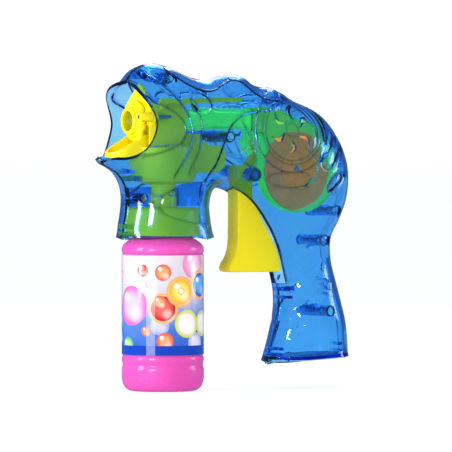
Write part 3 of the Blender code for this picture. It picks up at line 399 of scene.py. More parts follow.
def spline(points, step, closed=False):
    """Catmull-Rom curve through the points, resampled at an even step."""
    pts = np.array(points, float)
    if closed:
        pts = np.vstack([pts[-1], pts, pts[:2]])
    else:
        pts = np.vstack([2 * pts[0] - pts[1], pts, 2 * pts[-1] - pts[-2]])
    dense = []
    for i in range(1, len(pts) - 2):
        p0, p1, p2, p3 = pts[i - 1:i + 3]
        for t in np.linspace(0.0, 1.0, 24, endpoint=False):
            dense.append(0.5 * (2 * p1 + (p2 - p0) * t + (2 * p0 - 5 * p1 + 4 * p2 - p3) * t ** 2
                                + (3 * p1 - p0 - 3 * p2 + p3) * t ** 3))
    dense.append(pts[-2])
    dense = np.array(dense)
    run = np.concatenate([[0.0], np.cumsum(np.linalg.norm(np.diff(dense, axis=0), axis=1))])
    count = max(2, round(run[-1] / step))
    marks = np.linspace(0.0, run[-1], count + 1)
    return np.column_stack([np.interp(marks, run, dense[:, k]) for k in range(dense.shape[1])])


def smooth_profile(points, radius, step=3):
    """A closed profile with each corner cut into a small arc."""
    result = []
    count = len(points)
    for i in range(count):
        before, here, after = (np.array(points[k % count], float) for k in (i - 1, i, i + 1))
        back, ahead = before - here, after - here
        room = min(np.linalg.norm(back), np.linalg.norm(ahead)) * 0.45
        trim = min(radius, room)
        start = here + back / np.linalg.norm(back) * trim
        end = here + ahead / np.linalg.norm(ahead) * trim
        for t in np.linspace(0, 1, step + 1):
            result.append(tuple((1 - t) ** 2 * start + 2 * t * (1 - t) * here + t ** 2 * end))
    return result


def swept(name, line, radius, material, segments=12, bore=None):
    """A round bar, or a tube with a bore, along a fine line."""
    line = np.array(line, float)
    tangents = np.gradient(line, axis=0)
    tangents /= np.linalg.norm(tangents, axis=1)[:, None]
    side = np.cross(tangents[0], (0.3, 1.0, 0.2))
    rings = []
    for point, tangent in zip(line, tangents):
        side = side - tangent * side.dot(tangent)
        side /= np.linalg.norm(side)
        rings.append((point, side.copy(), np.cross(tangent, side)))
    layers = [(radius, rings)] if bore is None else [(radius, rings), (bore, rings[::-1])]
    verts = []
    for size, order in layers:
        for point, u, v in order:
            for j in range(segments):
                turn = math.tau * j / segments
                verts.append(point + size * (math.cos(turn) * u + math.sin(turn) * v))
    tube = bore is not None
    faces = ring_faces(2 * len(rings), segments) if tube else capped_faces(len(rings), segments)
    return make_object(name, verts, faces, material)


def fused(pieces):
    """One solid from tools that may overlap."""
    whole = pieces[0]
    for piece in pieces[1:]:
        add(whole, piece)
    return whole


def finish_piece(obj, body, slot, *nodes):
    """Ride on a body and stand for CAD nodes, which it hides; the slot is not used."""
    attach(obj, body)
    if nodes:
        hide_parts(*nodes)
    return obj


# ------------------------------------------------------------------- materials
class Graph:
    """Small helper that adds nodes to a node tree."""

    def __init__(self, tree):
        self.tree = tree

    def node(self, kind, **values):
        """A new node; each value is one of its properties or an unlinked input."""
        made = self.tree.nodes.new(kind)
        for key, value in values.items():
            if hasattr(made, key):
                setattr(made, key, value)
            else:
                made.inputs[key.replace("_", " ")].default_value = value
        return made

    def link(self, source, target):
        self.tree.links.new(source, target)

    def coordinates(self):
        return self.node("ShaderNodeTexCoord").outputs["Object"]

    def noise(self, scale, detail=3.0, roughness=0.5):
        """Noise in object space; the scale is in cells per metre."""
        noise = self.node("ShaderNodeTexNoise", Scale=scale, Detail=detail, Roughness=roughness)
        self.link(self.coordinates(), noise.inputs["Vector"])
        return noise.outputs["Fac"]

    def spread(self, factor, low, high):
        """Map a 0-1 noise to a range."""
        ranged = self.node("ShaderNodeMapRange")
        ranged.inputs["From Min"].default_value = 0.3
        ranged.inputs["From Max"].default_value = 0.7
        ranged.inputs["To Min"].default_value = low
        ranged.inputs["To Max"].default_value = high
        self.link(factor, ranged.inputs["Value"])
        return ranged.outputs["Result"]

    def feed(self, value, socket):
        """Link an output to a socket, or set it to a number or a colour."""
        if isinstance(value, bpy.types.NodeSocket):
            self.link(value, socket)
        elif isinstance(value, (int, float)):
            socket.default_value = value
        else:
            socket.default_value = (*value, 1.0)

    def mix(self, factor, first, second):
        mix = self.node("ShaderNodeMix", data_type="RGBA")
        for socket, value in ((mix.inputs[0], factor), (mix.inputs[6], first), (mix.inputs[7], second)):
            self.feed(value, socket)
        return mix.outputs[2]

    def maths(self, operation, *values):
        node = self.node("ShaderNodeMath", operation=operation)
        for value, socket in zip(values, node.inputs):
            self.feed(value, socket)
        return node.outputs[0]

    def ramp(self, value, start, end):
        """Rise smoothly from 0 to 1 between two values."""
        ranged = self.node("ShaderNodeMapRange", interpolation_type="SMOOTHSTEP")
        ranged.inputs["From Min"].default_value = start
        ranged.inputs["From Max"].default_value = end
        self.link(value, ranged.inputs["Value"])
        return ranged.outputs["Result"]


class MaterialGraph(Graph):
    """The nodes of a new material round its Principled shader."""

    def __init__(self, name):
        self.material = bpy.data.materials.new(name)
        self.material.use_nodes = True
        super().__init__(self.material.node_tree)
        self.shader = self.tree.nodes["Principled BSDF"]
        self.output = self.tree.nodes["Material Output"]

    def bump(self, layers):
        """A chain of bumps, each (height socket, strength, distance in mm)."""
        normal = None
        for height, strength, distance in layers:
            bump = self.node("ShaderNodeBump", Strength=strength, Distance=distance * MM)
            self.link(height, bump.inputs["Height"])
            if normal is not None:
                self.link(normal, bump.inputs["Normal"])
            normal = bump.outputs["Normal"]
        self.link(normal, self.shader.inputs["Normal"])

    def glow(self, colour, strength=1.0):
        self.shader.inputs["Emission Color"].default_value = (*colour, 1.0)
        self.shader.inputs["Emission Strength"].default_value = strength


def clear_plastic(name, tints, absorb, density, roughness=(0.02, 0.06), ior=1.49, line=None,
                  transmission=1.0, glow=None):
    """Tinted see-through plastic that darkens with thickness and lets lamps through."""
    g = MaterialGraph(name)
    colour = g.mix(g.spread(g.noise(45.0), 0.0, 1.0), *tints)
    if line is not None:
        # line, where given, is a deeper colour of painted shade, mixed in along the moulded lines by the
        # line attribute
        edge = g.node("ShaderNodeAttribute", attribute_name="line")
        colour = g.mix(edge.outputs["Fac"], colour, line)
    g.link(colour, g.shader.inputs["Base Color"])
    # glow, where given, is painted light: an emission that makes the part look lit
    if glow is not None:
        g.glow(glow)
    g.link(g.spread(g.noise(160.0, 4.0), *roughness), g.shader.inputs["Roughness"])
    g.shader.inputs["IOR"].default_value = ior
    g.shader.inputs["Transmission Weight"].default_value = transmission
    g.bump([(g.noise(70.0, 2.0), 0.10, 0.6), (g.noise(900.0, 2.0), 0.05, 0.06)])
    lamp = g.node("ShaderNodeBsdfTransparent")
    lamp.inputs["Color"].default_value = (0.93, 0.95, 0.97, 1.0)
    blend = g.node("ShaderNodeMixShader")
    path = g.node("ShaderNodeLightPath").outputs
    g.link(g.maths("MAXIMUM", path["Is Shadow Ray"], path["Is Diffuse Ray"]), blend.inputs[0])
    g.link(g.shader.outputs[0], blend.inputs[1])
    g.link(lamp.outputs[0], blend.inputs[2])
    g.link(blend.outputs[0], g.output.inputs["Surface"])
    volume = g.node("ShaderNodeVolumeAbsorption", Density=density)
    volume.inputs["Color"].default_value = (*absorb, 1.0)
    g.link(volume.outputs[0], g.output.inputs["Volume"])
    return g.material


def solid_plastic(name, tints, roughness=(0.24, 0.36), subsurface=0.0, radius=(1.0, 1.0, 1.0),
                  grain=0.05, coat=0.0, glow=None):
    """Moulded opaque plastic: faint flow marks, fine grain and uneven gloss."""
    g = MaterialGraph(name)
    flow = g.mix(g.spread(g.noise(38.0, 2.0), 0.0, 1.0), *tints)
    g.link(flow, g.shader.inputs["Base Color"])
    g.link(g.spread(g.noise(210.0, 4.0), *roughness), g.shader.inputs["Roughness"])
    g.shader.inputs["IOR"].default_value = 1.5
    g.shader.inputs["Specular IOR Level"].default_value = 0.32
    g.shader.inputs["Coat Weight"].default_value = coat
    g.shader.inputs["Coat Roughness"].default_value = 0.12
    # glow, where given, is painted light: an emission that makes the part look lit
    if glow is not None:
        g.glow(glow)
    if subsurface:
        g.shader.inputs["Subsurface Weight"].default_value = subsurface
        g.shader.inputs["Subsurface Radius"].default_value = radius
        g.shader.inputs["Subsurface Scale"].default_value = 1.2 * MM
    g.bump([(g.noise(55.0, 2.0), 0.12, 0.5), (g.noise(1500.0, 3.0), grain, 0.08)])
    return g.material


def metal(name, tints, roughness):
    """Plated or turned metal with fine scratches."""
    g = MaterialGraph(name)
    g.link(g.mix(g.noise(300.0, 4.0), *tints), g.shader.inputs["Base Color"])
    g.shader.inputs["Metallic"].default_value = 1.0
    g.link(g.spread(g.noise(600.0, 5.0), *roughness), g.shader.inputs["Roughness"])
    g.bump([(g.noise(2200.0, 3.0), 0.15, 0.04)])
    return g.material


def rubber_material():
    """Dull black seal rubber."""
    g = MaterialGraph("seal_rubber")
    g.link(g.mix(g.noise(200.0), (0.018, 0.018, 0.02), (0.04, 0.04, 0.042)), g.shader.inputs["Base Color"])
    g.link(g.spread(g.noise(500.0), 0.55, 0.75), g.shader.inputs["Roughness"])
    g.bump([(g.noise(1500.0, 4.0), 0.3, 0.08)])
    return g.material


def bubble_group():
    """Node group that paints one round bubble over a colour, on (arc, height) in mm."""
    tree = bpy.data.node_groups.new("bubble", "ShaderNodeTree")
    for name, kind in (("Place", "Vector"), ("Centre", "Vector"), ("Radius", "Float"), ("Under", "Color"),
                       ("Fill", "Color"), ("Rim", "Color"), ("Cover", "Float")):
        tree.interface.new_socket(name, in_out="INPUT", socket_type="NodeSocket" + kind)
    tree.interface.new_socket("Color", in_out="OUTPUT", socket_type="NodeSocketColor")
    g = Graph(tree)
    given = g.node("NodeGroupInput").outputs

    def distance(*offset):
        """Distance from a spot in the bubble, with its radius as the unit."""
        spot = g.node("ShaderNodeVectorMath", operation="MULTIPLY_ADD")
        g.link(given["Radius"], spot.inputs[0])
        spot.inputs[1].default_value = (*offset, 0.0)
        g.link(given["Centre"], spot.inputs[2])
        gap = g.node("ShaderNodeVectorMath", operation="DISTANCE")
        g.link(given["Place"], gap.inputs[0])
        g.link(spot.outputs[0], gap.inputs[1])
        return g.maths("DIVIDE", gap.outputs["Value"], given["Radius"])

    middle = distance(0.0, 0.0)
    body = g.mix(g.ramp(middle, 0.35, 0.95), given["Fill"], given["Rim"])
    shine = g.maths("MULTIPLY", g.ramp(distance(-0.38, 0.42), 0.30, 0.12), 0.85)
    body = g.mix(shine, body, (1.0, 1.0, 1.0))
    glow = g.maths("MULTIPLY", g.ramp(distance(0.35, -0.45), 0.55, 0.15), 0.35)
    body = g.mix(glow, body, (1.0, 0.95, 0.95))
    mask = g.maths("MULTIPLY", g.ramp(middle, 1.0, 0.95), given["Cover"])
    g.link(g.mix(mask, given["Under"], body), g.node("NodeGroupOutput").inputs[0])
    return tree


# Bubbles printed on the label: (degrees from the camera side, height, radius, fill, rim, cover).
ORANGE = ((1.0, 0.36, 0.16), (0.78, 0.10, 0.05))
RED = ((0.95, 0.12, 0.08), (0.55, 0.0, 0.02))
ROSE = ((0.98, 0.48, 0.72), (0.85, 0.12, 0.42))
PALE = ((0.93, 0.86, 0.98), (0.55, 0.50, 0.85))
GREEN = ((0.42, 0.78, 0.30), (0.10, 0.42, 0.16))
GOLD = ((1.0, 0.78, 0.16), (0.90, 0.42, 0.02))
AZURE = ((0.10, 0.45, 0.95), (0.0, 0.12, 0.62))
CREAM = ((1.0, 0.92, 0.70), (0.86, 0.40, 0.10))
LEAF = ((0.96, 0.90, 0.92), (0.62, 0.68, 0.12))
LABEL_BUBBLES = [
    (-52, 64.4, 3.6, *PALE, 0.7), (-28.6, 62.8, 3.3, *RED, 1.0), (1, 61.8, 4.4, *ORANGE, 1.0),
    (50, 66.0, 8.0, *ROSE, 0.75), (-18, 55.8, 2.2, *ROSE, 0.8), (-49, 44.6, 10.5, *ROSE, 0.95),
    (-4, 34.6, 5.2, *PALE, 0.55), (53, 25.3, 5.6, *PALE, 0.8), (-57, 24.0, 4.6, *GREEN, 1.0),
    (-23.6, 31.6, 2.7, *ORANGE, 1.0), (3.8, 26.3, 4.6, *ORANGE, 1.0),
    (1.0, 43.2, 8.2, *CREAM, 1.0), (1.0, 43.2, 6.6, *RED, 1.0), (-3.5, 46.4, 3.6, *ORANGE, 0.9),
    (27, 51.9, 8.2, *CREAM, 1.0), (27, 51.9, 6.7, *GOLD, 1.0), (27, 52.2, 2.0, *CREAM, 1.0),
    (64, 55.2, 8.0, *CREAM, 1.0), (64, 55.2, 6.4, *AZURE, 1.0),
    (37, 35.3, 7.4, *LEAF, 1.0), (37, 35.3, 5.2, (0.98, 0.86, 0.90), (0.95, 0.80, 0.86), 1.0),
    (72, 35.3, 7.0, *LEAF, 1.0), (72, 35.3, 4.9, (0.98, 0.86, 0.90), (0.95, 0.80, 0.86), 1.0),
]
BUBBLE_KINDS = [ORANGE, ROSE, PALE, GREEN, GOLD, AZURE, RED]
BUBBLE_SEED = 11
BACK_BUBBLE_COUNT = 16
LABEL_FACING = math.radians(-120.0)      # direction in the floor plane that the print faces
SKY_STOPS = [                            # share of the label's height, colour
    (0.0, (0.0, 0.045, 0.46)), (0.10, (0.03, 0.12, 0.56)), (0.30, (0.08, 0.20, 0.62)),
    (0.46, (0.22, 0.30, 0.66)), (0.60, (0.55, 0.52, 0.70)), (0.78, (0.64, 0.60, 0.72)),
    (1.0, (0.74, 0.62, 0.70)),
]
BAND_HEIGHT = 5.0
SEAM_AND_REFLECTION_ARC = -6.2                       # where the film's two ends overlap, and where a painted reflection of a softbox lightens the print
SEAM_AND_REFLECTION_HALF_WIDTH = 2.4


def back_bubbles():
    """More bubbles on the side that faces away, placed by a seeded draw."""
    draw = random.Random(BUBBLE_SEED)
    found = []
    arc_per_degree = math.radians(1.0) * LABEL_RADIUS
    while len(found) < BACK_BUBBLE_COUNT:
        degrees, height, radius = draw.uniform(95, 290), draw.uniform(27, 66), draw.uniform(2.4, 8.5)
        if all(math.hypot((degrees - d) * arc_per_degree, height - h) > radius + r
               for d, h, r, *_ in found):
            found.append((degrees, height, radius, *draw.choice(BUBBLE_KINDS), 0.95))
    return found


def label_places(g):
    """Arc from the side that faces the camera and height, both in mm."""
    split = g.node("ShaderNodeSeparateXYZ")
    g.link(g.coordinates(), split.inputs[0])
    x = g.maths("SUBTRACT", split.outputs[0], BOTTLE_X * MM)
    y = split.outputs[1]
    cos, sin = math.cos(LABEL_FACING), math.sin(LABEL_FACING)
    # The angle is measured from the middle of the print, so its jump lies at the back.
    facing = g.maths("ADD", g.maths("MULTIPLY", x, cos), g.maths("MULTIPLY", y, sin))
    beside = g.maths("ADD", g.maths("MULTIPLY", x, -sin), g.maths("MULTIPLY", y, cos))
    arc = g.maths("MULTIPLY", g.maths("ARCTAN2", beside, facing), LABEL_RADIUS)
    return arc, g.maths("MULTIPLY", split.outputs[2], 1 / MM)


def label_sky(g, height):
    """The printed background: pale above, deepening to blue."""
    sky = g.node("ShaderNodeValToRGB")
    elements = sky.color_ramp.elements
    elements[0].position, elements[0].color = SKY_STOPS[0][0], (*SKY_STOPS[0][1], 1)
    elements[1].position, elements[1].color = SKY_STOPS[-1][0], (*SKY_STOPS[-1][1], 1)
    for position, colour in SKY_STOPS[1:-1]:
        elements.new(position).color = (*colour, 1)
    low, high = LABEL_SPAN
    share = g.maths("DIVIDE", g.maths("SUBTRACT", height, low), high - low)
    haze = g.maths("MULTIPLY", g.maths("SUBTRACT", g.noise(120.0, 2.0), 0.5), 0.25)
    g.link(g.maths("ADD", share, haze), sky.inputs[0])
    return sky.outputs[0]


def label_material():
    """Printed film: a pale sky that deepens to blue, bubbles, a plain band and a strip of painted
    reflection.
    """
    g = MaterialGraph("label_print")
    arc, height = label_places(g)
    spot = g.node("ShaderNodeCombineXYZ")
    g.link(arc, spot.inputs[0])
    g.link(height, spot.inputs[1])
    colour = label_sky(g, height)
    group = bubble_group()
    for degrees, z, radius, fill, rim, cover in LABEL_BUBBLES + back_bubbles():
        turn = degrees if degrees <= 180 else degrees - 360
        painted = g.node("ShaderNodeGroup", node_tree=group)
        g.link(spot.outputs[0], painted.inputs["Place"])
        painted.inputs["Centre"].default_value = (math.radians(turn) * LABEL_RADIUS, z, 0.0)
        painted.inputs["Radius"].default_value = radius
        painted.inputs["Fill"].default_value = (*fill, 1)
        painted.inputs["Rim"].default_value = (*rim, 1)
        painted.inputs["Cover"].default_value = cover
        g.link(colour, painted.inputs["Under"])
        colour = painted.outputs[0]
    band = g.maths("LESS_THAN", height, LABEL_SPAN[0] + BAND_HEIGHT)
    colour = g.mix(band, colour, SKY_STOPS[0][1])
    # the seam strip: a slight bump where the film's ends overlap, and a painted reflection that mixes the
    # print towards near white
    seam_and_reflection = g.maths("ABSOLUTE", g.maths("SUBTRACT", arc, SEAM_AND_REFLECTION_ARC))
    seam_and_reflection = g.maths("LESS_THAN", seam_and_reflection, SEAM_AND_REFLECTION_HALF_WIDTH)
    colour = g.mix(g.maths("MULTIPLY", seam_and_reflection, 0.22), colour, (0.9, 0.92, 1.0))
    g.link(colour, g.shader.inputs["Base Color"])
    g.link(g.spread(g.noise(90.0, 3.0), 0.16, 0.28), g.shader.inputs["Roughness"])
    g.shader.inputs["Coat Weight"].default_value = 0.35
    g.shader.inputs["Coat Roughness"].default_value = 0.08
    g.bump([(g.noise(60.0, 2.0), 0.15, 0.3), (seam_and_reflection, 0.3, 0.05)])
    return g.material


# the blue shell takes painted shade: a deeper blue is mixed in where the grooves and step edges lie
BLUE = clear_plastic("blue_clear", ((0.36, 0.72, 0.92), (0.40, 0.75, 0.94)), (0.0, 0.56, 0.963), 250.0,
                     line=(0.07, 0.24, 0.70))
# painted light: the lime plastic glows faintly green, so the parts behind the blue shell look lit
LIME = clear_plastic("lime_clear_self_lit", ((0.70, 0.96, 0.32), (0.78, 1.0, 0.40)), (0.68, 0.96, 0.14), 200.0,
                     roughness=(0.08, 0.16), transmission=0.9, glow=(0.0, 0.16, 0.01))
LIME_LID = clear_plastic("lime_lid", ((0.96, 0.96, 0.70), (0.99, 0.99, 0.76)), (0.85, 0.95, 0.35), 100.0)
CLEAR = clear_plastic("clear_tube", ((0.92, 0.97, 0.98), (0.96, 0.99, 1.0)), (0.75, 0.92, 0.95), 120.0,
                      roughness=(0.10, 0.18), ior=1.42)
# two copies of one yellow plastic: painted brighter for the parts that sit in shade inside the body and the
# mouth, and painted darker for the trigger, which stands in the light
YELLOW = solid_plastic("yellow_moulded_shade_lifted", ((0.92, 0.73, 0.0), (0.97, 0.78, 0.0)), subsurface=0.1,
                       radius=(1.0, 0.8, 0.1))
YELLOW_TRIGGER_DIMMED = solid_plastic("yellow_trigger_light_dimmed", ((0.76, 0.65, 0.0), (0.81, 0.69, 0.0)), subsurface=0.1,
                            radius=(1.0, 0.8, 0.1))
# painted light: the fan's orange glows, so it looks lit behind the lime housing and the blue shell
ORANGE_SELF_LIT = solid_plastic("orange_moulded_self_lit", ((0.98, 0.27, 0.03), (1.0, 0.33, 0.05)),
                               glow=(0.36, 0.085, 0.0))
PINK = solid_plastic("pink_bottle", ((0.70, 0.070, 0.40), (0.76, 0.090, 0.45)), roughness=(0.2, 0.3),
                     subsurface=0.25, radius=(1.0, 0.35, 0.7), coat=0.2)
STEEL = metal("zinc_steel", ((0.55, 0.56, 0.58), (0.70, 0.71, 0.73)), (0.18, 0.34))
BRASS = metal("turned_brass", ((0.72, 0.52, 0.20), (0.82, 0.62, 0.28)), (0.2, 0.35))
RUBBER = rubber_material()
LABEL = label_material()
SLOT_LOOKS = {
    "blue_plastic": BLUE, "lime_plastic": LIME, "yellow_plastic": YELLOW,
    "orange_plastic": ORANGE_SELF_LIT, "pink_plastic": PINK, "label_film": LABEL,
    "steel": STEEL, "brass": BRASS, "seal_rubber": RUBBER, "clear_plastic": CLEAR,
}


# ---------------------------------------------------------------- shell shape
class BodyField:
    """Half depth of the body over the parting plane, as in the CAD model."""

    def __init__(self):
        rounded = [spline(s, FIELD_STEP) for s in (TOP_AND_BACK, GRIP_FRONT_AND_ARCH, SOCKET_FRONT)]
        self.points = np.vstack([(r[1:] + r[:-1]) / 2 for r in rounded])
        self.lengths = np.concatenate([np.linalg.norm(np.diff(r, axis=0), axis=1) for r in rounded])
        self.stations = np.array(list(STATIONS.values()))

    def distance(self, where):
        """Smooth distance to the rounded outline, without a ridge between sides."""
        crowd = np.empty(len(where))
        for start in range(0, len(where), 1500):
            part = where[start:start + 1500]
            square = ((part[:, None, 0] - self.points[None, :, 0]) ** 2
                      + (part[:, None, 1] - self.points[None, :, 1]) ** 2)
            crowd[start:start + 1500] = (self.lengths / np.maximum(square, 0.02) ** 2).sum(axis=1)
        return np.maximum((crowd * 2 / math.pi) ** (-1 / 3) - 0.11, 0.0)

    def depth(self, where):
        """Half depth of the body at points of the parting plane."""
        where = np.atleast_2d(np.asarray(where, float))
        offset = where[:, None, :] - self.stations[None, :, :2]
        weight = ((offset ** 2).sum(axis=2) + STATION_BLEND ** 2) ** -2.0
        weight /= weight.sum(axis=1)[:, None]
        full, radius = weight @ self.stations[:, 2], weight @ self.stations[:, 3]
        inset = np.minimum(self.distance(where) / radius, 1.0)
        return full * np.sqrt(1.0 - (1.0 - inset) ** 2)

    def slope(self, where):
        """Gradient of the half depth in the parting plane."""
        step = 0.05
        return np.column_stack([
            (self.depth(where + np.array(d)) - self.depth(where - np.array(d))) / (2 * step)
            for d in ((step, 0.0), (0.0, step))])


FIELD = BodyField()


def inside(polygon, where):
    """Even-odd test of many points against a polygon."""
    x, z = where[:, 0], where[:, 1]
    result = np.zeros(len(where), bool)
    for (x1, z1), (x2, z2) in zip(polygon, np.roll(polygon, -1, axis=0)):
        if z1 == z2:
            continue
        crosses = (z1 > z) != (z2 > z)
        result ^= crosses & (x < (x2 - x1) * (z - z1) / (z2 - z1) + x1)
    return result


def body_outline():
    """The closed outline and, for each point, whether it is on the rounded part."""
    points, rounded = [], []
    for run, is_rounded in ((TOP_AND_BACK, True), (GRIP_END, False), (GRIP_FRONT_AND_ARCH, True),
                            (SOCKET_END, False), (SOCKET_FRONT, True), (MOUTH, False)):
        part = spline(run, EDGE_STEP)[:-1]
        points.extend(part)
        # The first point of a flat run is also the last of the rounded run before it.
        rounded += [is_rounded or k == 0 for k in range(len(part))]
    return np.array(points), np.array(rounded)


def ring_line(centre, radius):
    """A circle as a fine closed line."""
    turns = np.linspace(0, math.tau, max(16, round(math.tau * radius / LINE_STEP)), endpoint=False)
    return np.column_stack([centre[0] + radius * np.cos(turns), centre[1] + radius * np.sin(turns)])


def relief_lines():
    """Every moulded groove as (fine line, depth, width)."""
    lines = [(spline(points, LINE_STEP, closed), depth, width) for points, closed, depth, width in LINES]
    return lines + [(ring_line(centre, radius), depth, width) for centre, radius, depth, width in RINGS]


def line_distance(line, where):
    """Distance from many points to a fine line."""
    dense = spline(line, 0.25)
    best = np.empty(len(where))
    for start in range(0, len(where), 3000):
        part = where[start:start + 3000]
        square = ((part[:, None, 0] - dense[None, :, 0]) ** 2 + (part[:, None, 1] - dense[None, :, 1]) ** 2)
        best[start:start + 3000] = np.sqrt(square.min(axis=1))
    return best


def smooth_step(value, width):
    """Rise smoothly from 0 to 1 as the value passes 0."""
    t = np.clip(value / (2 * width) + 0.5, 0.0, 1.0)
    return t * t * (3 - 2 * t)


def relief(where):
    """How far the moulded surface lies below the plain body, in mm (never above it)."""
    edge = spline(HEAD_EDGE, LINE_STEP)
    head = np.vstack([edge, [(-24.5, 60), (-90, 60), (-90, 190), (45, 190)]])
    away = line_distance(edge, where)
    on_body = smooth_step(np.where(inside(head, where), -away, away), STEP_WIDTH)
    above_socket = np.clip((where[:, 1] - STEP_START_Z) / 8.0, 0.0, 1.0)
    lower = STEP_DEPTH * on_body * np.exp(-np.maximum(away - 1, 0) / STEP_FADE) * above_socket
    edge = spline(CREST_EDGE, LINE_STEP)
    crest = np.vstack([edge, [(60, 190), (-60, 190)]])
    away = line_distance(edge, where)
    on_top = smooth_step(np.where(inside(crest, where), away, -away), STEP_WIDTH)
    lower += CREST_DEPTH * on_top * np.exp(-np.maximum(away - 1, 0) / CREST_FADE)
    for line, depth, width in relief_lines():
        groove = depth * np.exp(-(line_distance(line, where) / width) ** 2)
        lower = np.maximum(lower, lower * 0.4 + groove)
    for start, end, depth, width in LEAVES:
        start, end = np.array(start), np.array(end)
        along = np.clip(((where - start) @ (end - start)) / ((end - start) @ (end - start)), 0, 1)
        gap = np.linalg.norm(where - (start + along[:, None] * (end - start)), axis=1)
        girth = width * (0.35 + 0.65 * np.sin(math.pi * np.clip(along, 0.04, 0.96)))
        lower += depth * np.exp(-(gap / girth) ** 2)
    return -np.minimum(lower, RELIEF_LIMIT)


def groove_painted_shade(where):
    """How much painted shade a point takes along the moulded lines and the step edges, from 0 to 1."""
    dark = np.zeros(len(where))
    edges = [(spline(HEAD_EDGE, LINE_STEP), 1.0, 0.6), (spline(CREST_EDGE, LINE_STEP), 0.7, 0.4)]
    for line, depth, width in relief_lines() + edges:
        strength = min(1.0, 0.45 + 0.7 * depth)
        dark = np.maximum(dark, strength * np.exp(-(line_distance(line, where) / width) ** 2))
    return dark


class Scatter:
    """Points that keep a least distance from each other."""

    def __init__(self, cell=0.5):
        self.cell = cell
        self.cells = {}
        self.points = []

    def place(self, point, gap):
        """Keep the point only if nothing lies nearer than the gap."""
        reach = int(gap / self.cell) + 1
        cx, cz = int(point[0] // self.cell), int(point[1] // self.cell)
        for i in range(cx - reach, cx + reach + 1):
            for j in range(cz - reach, cz + reach + 1):
                for other in self.cells.get((i, j), ()):
                    if (other[0] - point[0]) ** 2 + (other[1] - point[1]) ** 2 < gap * gap:
                        return
        self.force(point)

    def force(self, point):
        """Keep the point whatever is near it."""
        point = (float(point[0]), float(point[1]))
        self.cells.setdefault((int(point[0] // self.cell), int(point[1] // self.cell)), []).append(point)
        self.points.append(point)


def offset_rows(line, offsets):
    """The line moved sideways by each offset."""
    along = np.gradient(line, axis=0)
    along /= np.linalg.norm(along, axis=1)[:, None]
    across = np.column_stack([along[:, 1], -along[:, 0]])
    return [line + across * offset for offset in offsets]


def sheet_points(outline, rounded):
    """Points of the shell sheet: outline, edge rows, rows along the relief and a grid."""
    along = np.roll(outline, -1, axis=0) - np.roll(outline, 1, axis=0)
    along /= np.linalg.norm(along, axis=1)[:, None]
    inward = np.column_stack([along[:, 1], -along[:, 0]])
    scatter = Scatter()
    for point in outline:
        scatter.force(point)
    for inset in EDGE_ROWS:
        row = outline[rounded] + inward[rounded] * inset
        for point in row[inside(outline, row)]:
            scatter.place(point, min(0.7, inset * 0.9))
    lines = [(line, width) for line, _, width in relief_lines()]
    lines += [(spline(edge, LINE_STEP), STEP_WIDTH) for edge in (HEAD_EDGE, CREST_EDGE)]
    for line, width in lines:
        for row in offset_rows(line, [k * width for k in (0.0, 0.8, -0.8, 1.8, -1.8)]):
            for point in row[inside(outline, row)]:
                scatter.place(point, 0.33)
    low, high = outline.min(axis=0), outline.max(axis=0)
    grid = []
    for j, z in enumerate(np.arange(low[1], high[1], GRID_STEP * 0.866)):
        for x in np.arange(low[0] + (j % 2) * GRID_STEP / 2, high[0], GRID_STEP):
            grid.append((x, z))
    grid = np.array(grid)
    for point in grid[inside(outline, grid)]:
        scatter.place(point, GRID_STEP * 0.62)
    return np.array(scatter.points), inward


def shell_sheets():
    """Outer and inner points of the left half, its triangles and its outline loop."""
    outline, rounded = body_outline()
    points, inward = sheet_points(outline, rounded)
    count = len(outline)
    loop = [(i, (i + 1) % count) for i in range(count)]
    flat, _, triangles, *_ = delaunay_2d_cdt([Vector(p) for p in points], loop, [], 1, 1e-6)
    flat = np.array([tuple(p) for p in flat])
    depth, slope = FIELD.depth(flat), FIELD.slope(flat)
    depth[:count][rounded] = 0.0
    normal = np.column_stack([-slope[:, 0], np.full(len(flat), -1.0), -slope[:, 1]])
    normal[:count][rounded] = np.column_stack(
        [-inward[rounded, 0], np.zeros(rounded.sum()), -inward[rounded, 1]])
    normal /= np.linalg.norm(normal, axis=1)[:, None]
    base = np.column_stack([flat[:, 0], -depth - SEAM, flat[:, 1]])
    inner = base - WALL * normal
    inner[:, 1] = np.minimum(inner[:, 1], -SEAM)
    fade = np.clip(FIELD.distance(flat) / 1.6, 0.0, 1.0)
    sunk = normal * (relief(flat) * fade)[:, None]
    outer = base + sunk
    inner += sunk
    inner[:, 1] = np.minimum(inner[:, 1], -SEAM)
    outer[:, 1] = np.minimum(outer[:, 1], -SEAM)
    box = np.array([CAD_LOW, CAD_HIGH])[:, [0, 2]] / MM
    for sheet in (outer, inner):
        sheet[:, [0, 2]] = np.clip(sheet[:, [0, 2]], *box)
    return outer, inner, [tuple(t) for t in triangles], loop


SHEETS = shell_sheets()


def shell_half(name, side):
    """A closed solid from the two sheets: side 1 is the left half, -1 its mirror image."""
    outer, inner, triangles, loop = SHEETS
    verts = np.vstack([outer, inner])
    verts[:, 1] *= side
    shift = len(outer)
    faces = list(triangles)
    faces += [tuple(i + shift for i in reversed(t)) for t in triangles]
    faces += [(a, a + shift, b + shift, b) for a, b in loop]
    return make_object(name, verts, faces, BLUE, sharp=55)


def wall_height(x, z, radius):
    """How far from the parting plane a post can reach and stay within the wall."""
    around = [polar((x, z), radius, a) for a in np.linspace(0, math.tau, 9)[:-1]]
    return float(FIELD.depth(np.array(around + [(x, z)])).min()) - WALL * 0.45


